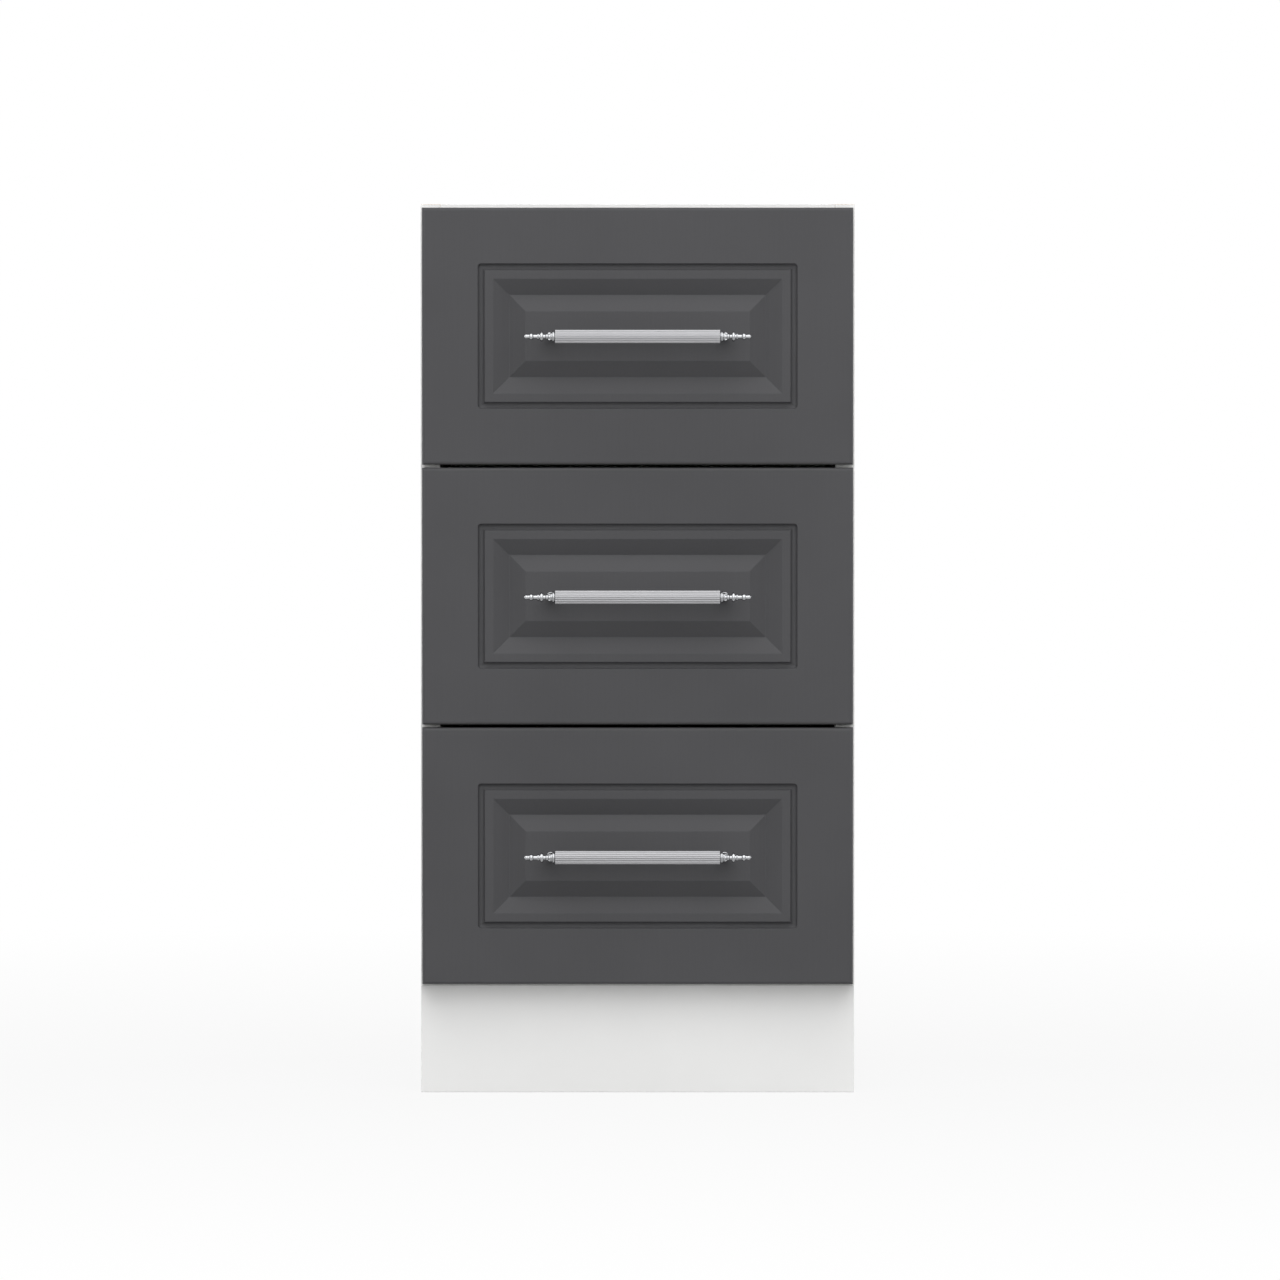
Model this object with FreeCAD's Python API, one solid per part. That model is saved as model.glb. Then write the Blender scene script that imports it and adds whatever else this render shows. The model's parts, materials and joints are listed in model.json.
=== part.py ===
import FreeCAD
import Part
import math
import os
from FreeCAD import Vector

# Kitchen base cabinet with three equal drawers on ball-bearing runners.
# Sizes are in millimetres. The origin is on the floor, in the middle of the
# overall width and depth. +X is to the right, +Y to the rear and +Z up.

# Carcass
cabinet_width = 400.0
carcass_height = 720.0
carcass_depth = 560.0          # front edge of the sides to the rear of the back panel
base_height = 100.0            # floor to the underside of the carcass
board = 18.0                   # thickness of the carcass boards
rail_depth = 100.0             # front to rear size of the two top rails
back_thickness = 3.0
back_inset = 2.0               # the back panel ends this far inside the carcass outline

# Drawer fronts
drawer_count = 3
front_thickness = 18.0
front_stand_off = 2.0          # carcass front edge to the rear face of a front
side_reveal = 1.5
top_reveal = 3.0
bottom_reveal = 1.5
front_spacing = 3.0            # gap between two fronts
front_edge_radius = 3.0
frame_width = 51.4             # flat frame, from the edge to the groove
groove_radius = 3.2            # half width of the round-bottomed groove
groove_depth = 4.2
strip_width = 7.7              # flat strip between the groove and the valley
valley_fall = 14.9             # width of the slope that falls into the front
valley_rise = 15.0             # width of the slope that rises to the centre field
valley_depth = 7.0

# Drawer boxes
box_board = 16.0
box_rear_room = 53.0           # rear of a box to the rear edge of the carcass sides
box_above_front_bottom = 31.5  # lower edge of a front to the lower edge of its box
box_below_front_top = 35.0     # upper edge of a box to the upper edge of its front
box_bottom_thickness = 3.0
box_bottom_height = 10.0       # lower edge of a box to the underside of its bottom
box_groove_depth = 6.0
box_groove_play = 0.2          # room above the bottom in its groove
box_bottom_play = 0.3          # room between the bottom's edge and the end of its groove

# Runners
runner_height = 45.5
runner_thickness = 12.7        # cabinet side to drawer box side
runner_sheet = 1.2
runner_play = 0.4              # between two members that slide in each other
runner_set_back = 2.0          # carcass front edge to the front end of a runner
runner_rear_inset = 2.0        # rear end of a runner to the rear of its box
runner_mouth_gap = 1.8         # cabinet member's lips to the drawer box side
runner_bend_radius = 1.0
runner_front_screws = (35.0, 227.0)  # from the front end of a runner
runner_rear_screw = 49.0       # from the rear end of a runner
runner_access_radius = 5.0     # holes in the middle member that let the driver through

# Handles
handle_spacing = 160.0         # between the two fixing holes
handle_projection = 34.0       # face of the front to the outside of the bar
bar_radius = 6.0
flute_count = 20
flute_radius = 0.8
flute_depth = 0.6
post_radius = 3.4
post_from_bar = 4.3            # end of the bar to the middle of the post
foot_ring_radius = 3.9
foot_ring_height = 1.5
spindle_radius = 2.0           # thin core of the turned end
spindle_tip = 26.5             # end of the bar to the middle of the tip ball

# Discs and beads of a turned handle end, from the bar outwards
neck_radius = 4.6
neck_width = 0.8
collar_radius = 5.5
collar_width = 1.9
inner_collar_radius = 4.2
inner_collar_width = 1.8
bead_radius = 2.7
bead_width = 2.8
bead_place = 7.5
ring_radius = 4.7
ring_width = 2.6
ring_place = 12.4
small_ring_radius = 3.3
small_ring_width = 1.4
small_ring_place = 15.6
ball_radius = 3.3
ball_width = 4.0
ball_place = 22.0
tip_radius = 2.3
rim_round = 0.25               # rounding of a disc's rim, as a share of its width

# Legs and plinth
plinth_thickness = 16.0
plinth_recess = 8.0            # carcass front edge to the face of the plinth
plinth_top_gap = 1.0
leg_side_inset = 50.0          # outside of the carcass to the leg's axis
leg_front_inset = 66.0
leg_rear_inset = 66.0
leg_tube_radius = 16.0
leg_tube_drop = 58.0           # underside of the carcass to the lower end of the tube
leg_flange_radius = 31.0
leg_flange_thickness = 4.0
leg_rib_reach = 10.0
leg_rib_height = 16.0
leg_rib_thickness = 2.4
stud_radius = 12.0
stud_play = 0.1                # radial room of the stud in the tube
stud_end_gap = 12.0            # top of the stud to the carcass
foot_pad_radius = 26.0
foot_pad_height = 6.0
foot_pad_chamfer = 1.5
foot_hub_radius = 17.0
foot_hub_height = 9.0
clip_width = 44.0
clip_height = 20.0
clip_below_ribs = 2.0          # lower end of the leg's ribs to the top of the clip
clip_play = 0.3                # clip to leg tube
clip_arm_reach = 9.0           # past the leg's axis
clip_plate_width = 34.0
clip_plate_height = 36.0
clip_plate_thickness = 3.0
clip_neck_width = 18.0
clip_plug_radius = 4.0
clip_plug_length = 10.0
clip_plug_spacing = 22.0

# Worktop holes in the top rails
worktop_hole_radius = 3.0
worktop_hole_spacing = 240.0

# Screws and nails
screw_play = 0.1               # round a screw in its hole
confirmat_length = 50.0
confirmat_radius = 3.3
confirmat_head_radius = 5.0
confirmat_head_height = 4.0
rail_screw_inset = 22.0        # front or rear edge of a rail to its nearest screw
bottom_screw_inset = 60.0      # front or rear edge of a side to its nearest bottom screw
bottom_screw_count = 3
corner_screw_length = 50.0
corner_screw_radius = 2.5
corner_screw_head_radius = 4.0
corner_screw_head_height = 3.2
corner_screw_inset = 30.0      # lower or upper edge of a box to its nearest corner screw
front_screw_length = 29.0
front_screw_radius = 2.0
front_screw_head_radius = 4.0
front_screw_head_height = 2.4
screw_row_gap = 10.0           # corner screws to the rows of the front screws
wood_screw_length = 14.0
wood_screw_radius = 1.75
wood_screw_head_radius = 3.4
wood_screw_head_height = 1.8
leg_screw_circle_radius = 24.0
leg_screw_count = 4
handle_screw_radius = 2.0
handle_screw_head_radius = 4.0
handle_screw_head_height = 2.6
handle_screw_grip = 8.0        # length of thread in a post
nail_length = 22.0
nail_radius = 0.8
nail_head_radius = 2.5
nail_head_height = 0.8
nail_rows = 7                  # up each side
nail_columns = 3               # along the bottom and along the top, between the sides

# Planes and places that follow from the sizes above
half_width = cabinet_width / 2
inner_half_width = half_width - board
overall_depth = handle_projection + front_thickness + front_stand_off + carcass_depth + nail_head_height
face_y = -overall_depth / 2 + handle_projection
front_rear_y = face_y + front_thickness
carcass_front_y = front_rear_y + front_stand_off
panel_rear_y = carcass_front_y + carcass_depth - back_thickness
back_rear_y = panel_rear_y + back_thickness
carcass_bottom_z = base_height
bottom_top_z = base_height + board
carcass_top_z = base_height + carcass_height
rail_middle_z = carcass_top_z - board / 2

front_half_width = half_width - side_reveal
fronts_height = carcass_height - top_reveal - bottom_reveal - (drawer_count - 1) * front_spacing
front_height = fronts_height / drawer_count
front_pitch = front_height + front_spacing
edge_to_strip = frame_width + 2 * groove_radius
edge_to_valley = edge_to_strip + strip_width
strip_middle = edge_to_strip + strip_width / 2

box_half_width = inner_half_width - runner_thickness
box_inner_half_width = box_half_width - box_board
box_height = front_height - box_above_front_bottom - box_below_front_top
box_front_y = front_rear_y
box_rear_y = panel_rear_y - box_rear_room
runner_front_y = carcass_front_y + runner_set_back
runner_length = box_rear_y - runner_rear_inset - runner_front_y
middle_web_x = runner_sheet + wood_screw_head_height + runner_play

bar_axis_y = face_y - handle_projection + bar_radius
post_x = handle_spacing / 2
bar_half_length = post_x - post_from_bar
plinth_front_y = carcass_front_y + plinth_recess
plinth_rear_y = plinth_front_y + plinth_thickness
leg_x = half_width - leg_side_inset
leg_front_y = carcass_front_y + leg_front_inset
leg_rear_y = back_rear_y - leg_rear_inset
stud_top_z = carcass_bottom_z - stud_end_gap
clip_top_z = carcass_bottom_z - leg_flange_thickness - leg_rib_height - clip_below_ribs

same_point = 0.001             # points closer than this are one point
RIGHT = Vector(1, 0, 0)
REAR = Vector(0, 1, 0)
UP = Vector(0, 0, 1)


# Basic shapes

def block(x_range, y_range, z_range):
    """Box between two values on each axis, given in either order."""
    low = Vector(min(x_range), min(y_range), min(z_range))
    high = Vector(max(x_range), max(y_range), max(z_range))
    size = high - low
    return Part.makeBox(size.x, size.y, size.z, low)


def rod(start, along, radius, length):
    """Cylinder from the start point in one direction."""
    return Part.makeCylinder(radius, length, start, along)


def mirrored(shape):
    """The same piece on the other side of the cabinet."""
    return shape.mirror(Vector(0, 0, 0), RIGHT)


def on_both_sides(shapes):
    """The right-hand shapes and their left-hand twins in one list."""
    return list(shapes) + [mirrored(shape) for shape in shapes]


def spread(first, last, count):
    """Evenly spaced values from the first to the last."""
    step = (last - first) / (count - 1)
    return [first + step * index for index in range(count)]


def headed_pin(at, along, length, radius, head_radius, head_height, sunk, play):
    """Screw or nail at a surface. The head is sunk in it or stands on it."""
    shank = rod(at, along, radius + play, length + play)
    if sunk:
        head = Part.makeCone(head_radius + play, radius + play, head_height, at, along)
    else:
        head = rod(at - along * head_height, along, head_radius, head_height)
    return shank.fuse(head).removeSplitter()


def confirmat(at, along, play=0.0):
    """Countersunk screw that joins two carcass boards."""
    return headed_pin(at, along, confirmat_length, confirmat_radius, confirmat_head_radius,
                      confirmat_head_height, True, play)


def corner_screw(at, along, play=0.0):
    """Countersunk screw that joins two boards of a drawer box."""
    return headed_pin(at, along, corner_screw_length, corner_screw_radius, corner_screw_head_radius,
                      corner_screw_head_height, True, play)


def front_screw(at, along, play=0.0):
    """Countersunk screw that holds a front on its drawer box."""
    return headed_pin(at, along, front_screw_length, front_screw_radius, front_screw_head_radius,
                      front_screw_head_height, True, play)


def wood_screw(at, along, play=0.0):
    """Short screw with a flat round head, for runners and legs."""
    return headed_pin(at, along, wood_screw_length, wood_screw_radius, wood_screw_head_radius,
                      wood_screw_head_height, False, play)


def handle_screw(at, along, play=0.0):
    """Machine screw through box front and front into a handle post."""
    length = box_board + front_thickness + handle_screw_grip
    return headed_pin(at, along, length, handle_screw_radius, handle_screw_head_radius,
                      handle_screw_head_height, False, play)


def nail(at, along, play=0.0):
    """Flat-headed nail that holds the back panel."""
    return headed_pin(at, along, nail_length, nail_radius, nail_head_radius, nail_head_height, False, play)


def pins(maker, places, play=0.0):
    """One pin at each (point, direction) of a list."""
    return [maker(at, along, play) for at, along in places]


def drilled(piece, maker, places):
    """The piece with a hole for each pin of the list that reaches it."""
    return piece.cut(pins(maker, places, screw_play))


# Where the fasteners go, each as (point on the surface, direction of the shank)

def rail_screw_places():
    """Right ends of the two top rails, through the side."""
    rail_edges = (carcass_front_y, panel_rear_y - rail_depth)
    places = []
    for front_edge in rail_edges:
        for y in (front_edge + rail_screw_inset, front_edge + rail_depth - rail_screw_inset):
            places.append((Vector(half_width, y, rail_middle_z), -RIGHT))
    return places


def bottom_screw_places():
    """From below, through the bottom into the right side."""
    first = carcass_front_y + bottom_screw_inset
    last = panel_rear_y - bottom_screw_inset
    x = half_width - board / 2
    return [(Vector(x, y, carcass_bottom_z), UP) for y in spread(first, last, bottom_screw_count)]


def side_nail_places():
    """Through the back panel into the rear edge of the right side."""
    x = half_width - board / 2
    heights = spread(bottom_top_z + board, carcass_top_z - 2 * board, nail_rows)
    return [(Vector(x, back_rear_y, z), -REAR) for z in heights]


def edge_nail_places():
    """Through the back panel into the rear edges of the bottom and of the rear top rail."""
    columns = spread(-inner_half_width * 2 / 3, inner_half_width * 2 / 3, nail_columns)
    heights = (carcass_bottom_z + board / 2, rail_middle_z)
    return [(Vector(x, back_rear_y, z), -REAR) for z in heights for x in columns]


def runner_screw_ys():
    """Front to rear places of the screws of one runner member."""
    from_front = [runner_front_y + place for place in runner_front_screws]
    return from_front + [runner_front_y + runner_length - runner_rear_screw]


def runner_middle_z(drawer):
    """Height of a drawer's runners."""
    return box_bottom_z(drawer) + box_height / 2


def cabinet_runner_screw_places(drawer):
    """Through the right cabinet member into the side."""
    x = inner_half_width - runner_sheet
    z = runner_middle_z(drawer)
    return [(Vector(x, y, z), RIGHT) for y in runner_screw_ys()]


def drawer_runner_screw_places(drawer):
    """Through the right drawer member into the box side."""
    x = box_half_width + runner_sheet
    z = runner_middle_z(drawer)
    return [(Vector(x, y, z), -RIGHT) for y in runner_screw_ys()]


def leg_axes():
    """Points on the floor under the two right-hand legs."""
    return [Vector(leg_x, leg_front_y, 0), Vector(leg_x, leg_rear_y, 0)]


def leg_screw_places():
    """Through the flanges of the right-hand legs into the bottom."""
    z = carcass_bottom_z - leg_flange_thickness
    places = []
    for axis in leg_axes():
        for index in range(leg_screw_count):
            angle = 2 * math.pi * (index + 0.5) / leg_screw_count
            x = axis.x + leg_screw_circle_radius * math.cos(angle)
            y = axis.y + leg_screw_circle_radius * math.sin(angle)
            places.append((Vector(x, y, z), UP))
    return places


def corner_screw_places(drawer):
    """Through the right box side into the ends of the box front and the box back."""
    low = box_bottom_z(drawer) + corner_screw_inset
    high = box_bottom_z(drawer) + box_height - corner_screw_inset
    board_middles = (box_front_y + box_board / 2, box_rear_y - box_board / 2)
    heights = (low, high)
    return [(Vector(box_half_width, y, z), -RIGHT) for y in board_middles for z in heights]


def front_screw_places(drawer):
    """From inside the box, through the box front into the right half of the front."""
    x = front_half_width - strip_middle
    y = box_front_y + box_board
    middle = front_middle_z(drawer)
    rise = box_height / 2 - corner_screw_inset - screw_row_gap
    return [(Vector(x, y, z), -REAR) for z in (middle - rise, middle + rise)]


def handle_screw_places(drawer):
    """From inside the box, through the box front and the front into the right post."""
    return [(Vector(post_x, box_front_y + box_board, front_middle_z(drawer)), -REAR)]


def both(places):
    """Right-hand places and their left-hand twins."""
    twins = []
    for at, along in places:
        twins.append((Vector(-at.x, at.y, at.z), Vector(-along.x, along.y, along.z)))
    return places + twins


# Heights of a drawer, counted from the top

def front_bottom_z(drawer):
    """Lower edge of a drawer's front."""
    return carcass_top_z - top_reveal - front_height - drawer * front_pitch


def front_middle_z(drawer):
    """Middle of a drawer's front, where its handle is."""
    return front_bottom_z(drawer) + front_height / 2


def box_bottom_z(drawer):
    """Lower edge of a drawer's box."""
    return front_bottom_z(drawer) + box_above_front_bottom


# Carcass

def side_panel():
    """Right side of the carcass. It stands on the bottom."""
    x_range = (inner_half_width, half_width)
    panel = block(x_range, (carcass_front_y, panel_rear_y), (bottom_top_z, carcass_top_z))
    panel = drilled(panel, confirmat, rail_screw_places() + bottom_screw_places())
    panel = drilled(panel, nail, side_nail_places())
    for drawer in range(drawer_count):
        panel = drilled(panel, wood_screw, cabinet_runner_screw_places(drawer))
    return panel


def bottom_panel():
    """Bottom of the carcass. It runs the full width, under the sides."""
    x_range = (-half_width, half_width)
    panel = block(x_range, (carcass_front_y, panel_rear_y), (carcass_bottom_z, bottom_top_z))
    panel = drilled(panel, confirmat, both(bottom_screw_places()))
    panel = drilled(panel, wood_screw, both(leg_screw_places()))
    return drilled(panel, nail, edge_nail_places())


def top_rail(front_edge_y):
    """Flat rail between the sides, with two holes for the worktop screws."""
    x_range = (-inner_half_width, inner_half_width)
    y_range = (front_edge_y, front_edge_y + rail_depth)
    z_range = (carcass_top_z - board, carcass_top_z)
    rail = block(x_range, y_range, z_range)
    for x in (-worktop_hole_spacing / 2, worktop_hole_spacing / 2):
        under = Vector(x, front_edge_y + rail_depth / 2, carcass_top_z - board)
        rail = rail.cut(rod(under, UP, worktop_hole_radius, board))
    rail = drilled(rail, confirmat, both(rail_screw_places()))
    return drilled(rail, nail, edge_nail_places())


def back_panel():
    """Thin back, nailed on the rear edges of the carcass."""
    x_range = (-half_width + back_inset, half_width - back_inset)
    z_range = (carcass_bottom_z + back_inset, carcass_top_z - back_inset)
    panel = block(x_range, (panel_rear_y, back_rear_y), z_range)
    return drilled(panel, nail, both(side_nail_places()) + edge_nail_places())


# Runners, right-hand side

def channel(web_x, mouth_x, height, front_y, middle_z):
    """C-shaped runner member, bent from sheet, with its web at one x and its mouth at the other."""
    y_range = (front_y, front_y + runner_length)
    z_range = (middle_z - height / 2, middle_z + height / 2)
    shell = block((web_x, mouth_x), y_range, z_range)
    bends = []
    for edge in shell.Edges:
        runs_along = edge.BoundBox.YLength > runner_length / 2
        if runs_along and abs(edge.CenterOfMass.x - web_x) < runner_sheet / 2:
            bends.append(edge)
    shell = shell.makeFillet(runner_bend_radius, bends)
    sheet = math.copysign(runner_sheet, mouth_x - web_x)
    hollow_z = (z_range[0] + runner_sheet, z_range[1] - runner_sheet)
    return shell.cut(block((web_x + sheet, mouth_x), y_range, hollow_z))


def cabinet_member(drawer):
    """Runner member on the cabinet side. It holds the middle member."""
    mouth_x = inner_half_width - runner_thickness + runner_mouth_gap
    member = channel(inner_half_width, mouth_x, runner_height, runner_front_y, runner_middle_z(drawer))
    return drilled(member, wood_screw, cabinet_runner_screw_places(drawer))


def middle_member(drawer):
    """Runner member that travels half as far as the drawer."""
    web_x = inner_half_width - middle_web_x
    mouth_x = box_half_width + runner_sheet + runner_play
    height = runner_height - 2 * (runner_sheet + runner_play)
    middle_z = runner_middle_z(drawer)
    member = channel(web_x, mouth_x, height, runner_front_y, middle_z)
    for y in runner_screw_ys():
        start = Vector(web_x - runner_sheet, y, middle_z)
        member = member.cut(rod(start, RIGHT, runner_access_radius, runner_sheet))
    return member


def drawer_member(drawer):
    """Runner member on the drawer box. It slides in the middle member."""
    mouth_x = inner_half_width - middle_web_x - runner_sheet - runner_play
    height = runner_height - 4 * (runner_sheet + runner_play)
    member = channel(box_half_width, mouth_x, height, runner_front_y, runner_middle_z(drawer))
    return drilled(member, wood_screw, drawer_runner_screw_places(drawer))


# Drawers

def flat_rectangle(inset, y, drawer):
    """Outline that lies a given inset inside the edges of a front, at one depth."""
    half_x = front_half_width - inset
    half_z = front_height / 2 - inset
    middle = front_middle_z(drawer)
    corners = [(-half_x, -half_z), (half_x, -half_z), (half_x, half_z), (-half_x, half_z)]
    points = [Vector(x, y, middle + z) for x, z in corners]
    return Part.makePolygon(points + points[:1])


def frustum(inset, y, far_inset, far_y, drawer):
    """Solid between two rectangular outlines, with flat mitred slopes."""
    outlines = [flat_rectangle(inset, y, drawer), flat_rectangle(far_inset, far_y, drawer)]
    return Part.makeLoft(outlines, True, True)


def front_groove(drawer):
    """Cutters for the groove round the panel: straight walls, then a round bottom."""
    centre_y = face_y + groove_depth - groove_radius
    outside = frustum(frame_width, face_y, frame_width, centre_y, drawer)
    corners = [edge for edge in outside.Edges if edge.BoundBox.YLength > (centre_y - face_y) / 2]
    outside = outside.makeFillet(groove_radius, corners)
    cutters = [outside.cut(frustum(edge_to_strip, face_y, edge_to_strip, centre_y, drawer))]
    for side in flat_rectangle(frame_width + groove_radius, centre_y, drawer).Edges:
        start = side.firstVertex().Point
        along = side.lastVertex().Point - start
        cutters += [rod(start, along, groove_radius, along.Length), Part.makeSphere(groove_radius, start)]
    return cutters


def front_valley(drawer):
    """V-shaped valley that falls into the front and rises again to the centre field."""
    valley_y = face_y + valley_depth
    bottom_inset = edge_to_valley + valley_fall
    pocket = frustum(edge_to_valley, face_y, bottom_inset, valley_y, drawer)
    return pocket.cut(frustum(bottom_inset + valley_rise, face_y, bottom_inset, valley_y, drawer))


def drawer_front(drawer):
    """Profiled front with rounded outer edges."""
    z_range = (front_bottom_z(drawer), front_bottom_z(drawer) + front_height)
    front = block((-front_half_width, front_half_width), (face_y, front_rear_y), z_range)
    rim = [edge for edge in front.Edges if edge.BoundBox.YMax < face_y + front_thickness / 2]
    front = front.makeFillet(front_edge_radius, rim)
    front = front.cut(front_groove(drawer) + [front_valley(drawer)])
    front = drilled(front, front_screw, both(front_screw_places(drawer)))
    return drilled(front, handle_screw, both(handle_screw_places(drawer)))


def box_bottom_slot(drawer):
    """Room for a drawer bottom and its grooves."""
    half_x = box_inner_half_width + box_groove_depth
    y_range = (box_front_y + box_board - box_groove_depth, box_rear_y - box_board + box_groove_depth)
    low = box_bottom_z(drawer) + box_bottom_height
    return block((-half_x, half_x), y_range, (low, low + box_bottom_thickness + box_groove_play))


def box_z_range(drawer):
    """Lower and upper edge of a drawer box."""
    return (box_bottom_z(drawer), box_bottom_z(drawer) + box_height)


def box_side(drawer):
    """Right side of a drawer box, grooved for the bottom."""
    side = block((box_inner_half_width, box_half_width), (box_front_y, box_rear_y), box_z_range(drawer))
    side = side.cut(box_bottom_slot(drawer))
    side = drilled(side, corner_screw, corner_screw_places(drawer))
    return drilled(side, wood_screw, drawer_runner_screw_places(drawer))


def box_front(drawer):
    """Inner front of a drawer box, between its sides."""
    x_range = (-box_inner_half_width, box_inner_half_width)
    panel = block(x_range, (box_front_y, box_front_y + box_board), box_z_range(drawer))
    panel = panel.cut(box_bottom_slot(drawer))
    panel = drilled(panel, corner_screw, both(corner_screw_places(drawer)))
    panel = drilled(panel, front_screw, both(front_screw_places(drawer)))
    return drilled(panel, handle_screw, both(handle_screw_places(drawer)))


def box_back(drawer):
    """Rear of a drawer box, between its sides."""
    x_range = (-box_inner_half_width, box_inner_half_width)
    panel = block(x_range, (box_rear_y - box_board, box_rear_y), box_z_range(drawer))
    panel = panel.cut(box_bottom_slot(drawer))
    return drilled(panel, corner_screw, both(corner_screw_places(drawer)))


def box_bottom(drawer):
    """Thin bottom that lies in the grooves of the four box boards."""
    reach = box_groove_depth - box_bottom_play
    half_x = box_inner_half_width + reach
    y_range = (box_front_y + box_board - reach, box_rear_y - box_board + reach)
    low = box_bottom_z(drawer) + box_bottom_height
    return block((-half_x, half_x), y_range, (low, low + box_bottom_thickness))


# Handles

def handle_bar(drawer):
    """Round bar with flutes along its whole length."""
    start = Vector(-bar_half_length, bar_axis_y, front_middle_z(drawer))
    length = 2 * bar_half_length
    bar = rod(start, RIGHT, bar_radius, length)
    reach = bar_radius - flute_depth + flute_radius
    flutes = []
    for index in range(flute_count):
        angle = 2 * math.pi * (index + 0.5) / flute_count
        offset = Vector(0, reach * math.cos(angle), reach * math.sin(angle))
        flutes.append(rod(start + offset, RIGHT, flute_radius, length))
    return bar.cut(flutes)


def turned_profile():
    """Discs and beads of a turned end, in order: (place, crown radius, width, shoulder radius)."""
    collar_end = neck_width + collar_width
    discs = (
        (neck_width / 2, neck_radius, neck_width),
        (neck_width + collar_width / 2, collar_radius, collar_width),
        (collar_end + inner_collar_width / 2, inner_collar_radius, inner_collar_width),
        (ring_place, ring_radius, ring_width),
        (small_ring_place, small_ring_radius, small_ring_width),
    )
    beads = ((bead_place, bead_radius, bead_width), (ball_place, ball_radius, ball_width))
    profile = [(place, radius, width, radius - rim_round * width) for place, radius, width in discs]
    profile += [(place, radius, width, spindle_radius) for place, radius, width in beads]
    return sorted(profile)


def turned_end(bar_end):
    """Spindle with its discs and beads, turned round the handle's axis."""
    def point(along, radius):
        return bar_end + RIGHT * along + UP * radius

    outline = []
    pen = point(0, 0)
    for place, crown, width, shoulder in turned_profile():
        start = place - width / 2
        corners = [point(start, shoulder)]
        pen_place = pen.x - bar_end.x
        if start > pen_place + same_point:
            corners = [point(pen_place, spindle_radius), point(start, spindle_radius)] + corners
        for corner in corners:
            if corner.distanceToPoint(pen) > same_point:
                outline.append(Part.LineSegment(pen, corner))
                pen = corner
        far_shoulder = point(start + width, shoulder)
        outline.append(Part.Arc(pen, point(place, crown), far_shoulder))
        pen = far_shoulder
    tip_start = point(spindle_tip - math.sqrt(tip_radius ** 2 - spindle_radius ** 2), spindle_radius)
    tip_end = point(spindle_tip + tip_radius, 0)
    outline.append(Part.LineSegment(pen, tip_start))
    outline.append(Part.Arc(tip_start, point(spindle_tip, tip_radius), tip_end))
    outline.append(Part.LineSegment(tip_end, point(0, 0)))
    wire = Part.Wire([piece.toShape() for piece in outline])
    return Part.Face(wire).revolve(bar_end, RIGHT, 360)


def handle_end(drawer):
    """Right end of a handle: turned spindle and the post that stands on the front."""
    bar_end = Vector(bar_half_length, bar_axis_y, front_middle_z(drawer))
    post_top = bar_end + RIGHT * post_from_bar
    post = rod(post_top, REAR, post_radius, face_y - bar_axis_y)
    ring_start = Vector(post_top.x, face_y - foot_ring_height, post_top.z)
    foot_ring = rod(ring_start, REAR, foot_ring_radius, foot_ring_height)
    end = turned_end(bar_end).fuse([post, foot_ring]).removeSplitter()
    return drilled(end, handle_screw, handle_screw_places(drawer))


# Legs and plinth

def leg_rib(axis, angle):
    """Triangular rib between the tube and the flange of a leg."""
    flange_z = carcass_bottom_z - leg_flange_thickness
    middle_y = axis.y - leg_rib_thickness / 2
    inner = axis.x + (leg_tube_radius + stud_radius) / 2
    corners = [
        Vector(inner, middle_y, flange_z),
        Vector(axis.x + leg_tube_radius + leg_rib_reach, middle_y, flange_z),
        Vector(axis.x + leg_tube_radius, middle_y, flange_z - leg_rib_height),
        Vector(inner, middle_y, flange_z - leg_rib_height),
    ]
    face = Part.Face(Part.makePolygon(corners + corners[:1]))
    rib = face.extrude(REAR * leg_rib_thickness)
    rib.rotate(axis, UP, angle)
    return rib


def leg_socket(axis):
    """Flange and threaded tube under the bottom, for one leg."""
    flange_z = carcass_bottom_z - leg_flange_thickness
    tube_z = carcass_bottom_z - leg_tube_drop
    socket = rod(Vector(axis.x, axis.y, flange_z), UP, leg_flange_radius, leg_flange_thickness)
    socket = socket.fuse(rod(Vector(axis.x, axis.y, tube_z), UP, leg_tube_radius, leg_tube_drop))
    for index in range(leg_screw_count):
        socket = socket.fuse(leg_rib(axis, 360.0 * index / leg_screw_count))
    bore = rod(Vector(axis.x, axis.y, tube_z), UP, stud_radius + stud_play, stud_top_z + stud_play - tube_z)
    socket = socket.cut(bore)
    return drilled(socket, wood_screw, leg_screw_places())


def levelling_foot(axis):
    """Foot with its stud, which turns in the leg's tube."""
    pad = rod(axis, UP, foot_pad_radius, foot_pad_height)
    upper_rim = [edge for edge in pad.Edges if edge.BoundBox.ZMin > foot_pad_height / 2]
    pad = pad.makeChamfer(foot_pad_chamfer, upper_rim)
    hub_start = axis + UP * foot_pad_height
    hub = rod(hub_start, UP, foot_hub_radius, foot_hub_height)
    stud = rod(hub_start, UP, stud_radius, stud_top_z - foot_pad_height)
    return pad.fuse([hub, stud]).removeSplitter()


def plinth_plug_places():
    """Points on the rear of the plinth where the right-hand clip's plugs go in."""
    middle_z = clip_top_z - clip_height / 2
    xs = (leg_x - clip_plug_spacing / 2, leg_x + clip_plug_spacing / 2)
    return [Vector(x, plinth_rear_y, middle_z) for x in xs]


def plinth_board():
    """Board that closes the space under the carcass at the front."""
    z_range = (0, base_height - plinth_top_gap)
    plinth = block((-half_width, half_width), (plinth_front_y, plinth_rear_y), z_range)
    plugs = [rod(at, -REAR, clip_plug_radius, clip_plug_length) for at in plinth_plug_places()]
    return plinth.cut(on_both_sides(plugs))


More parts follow.
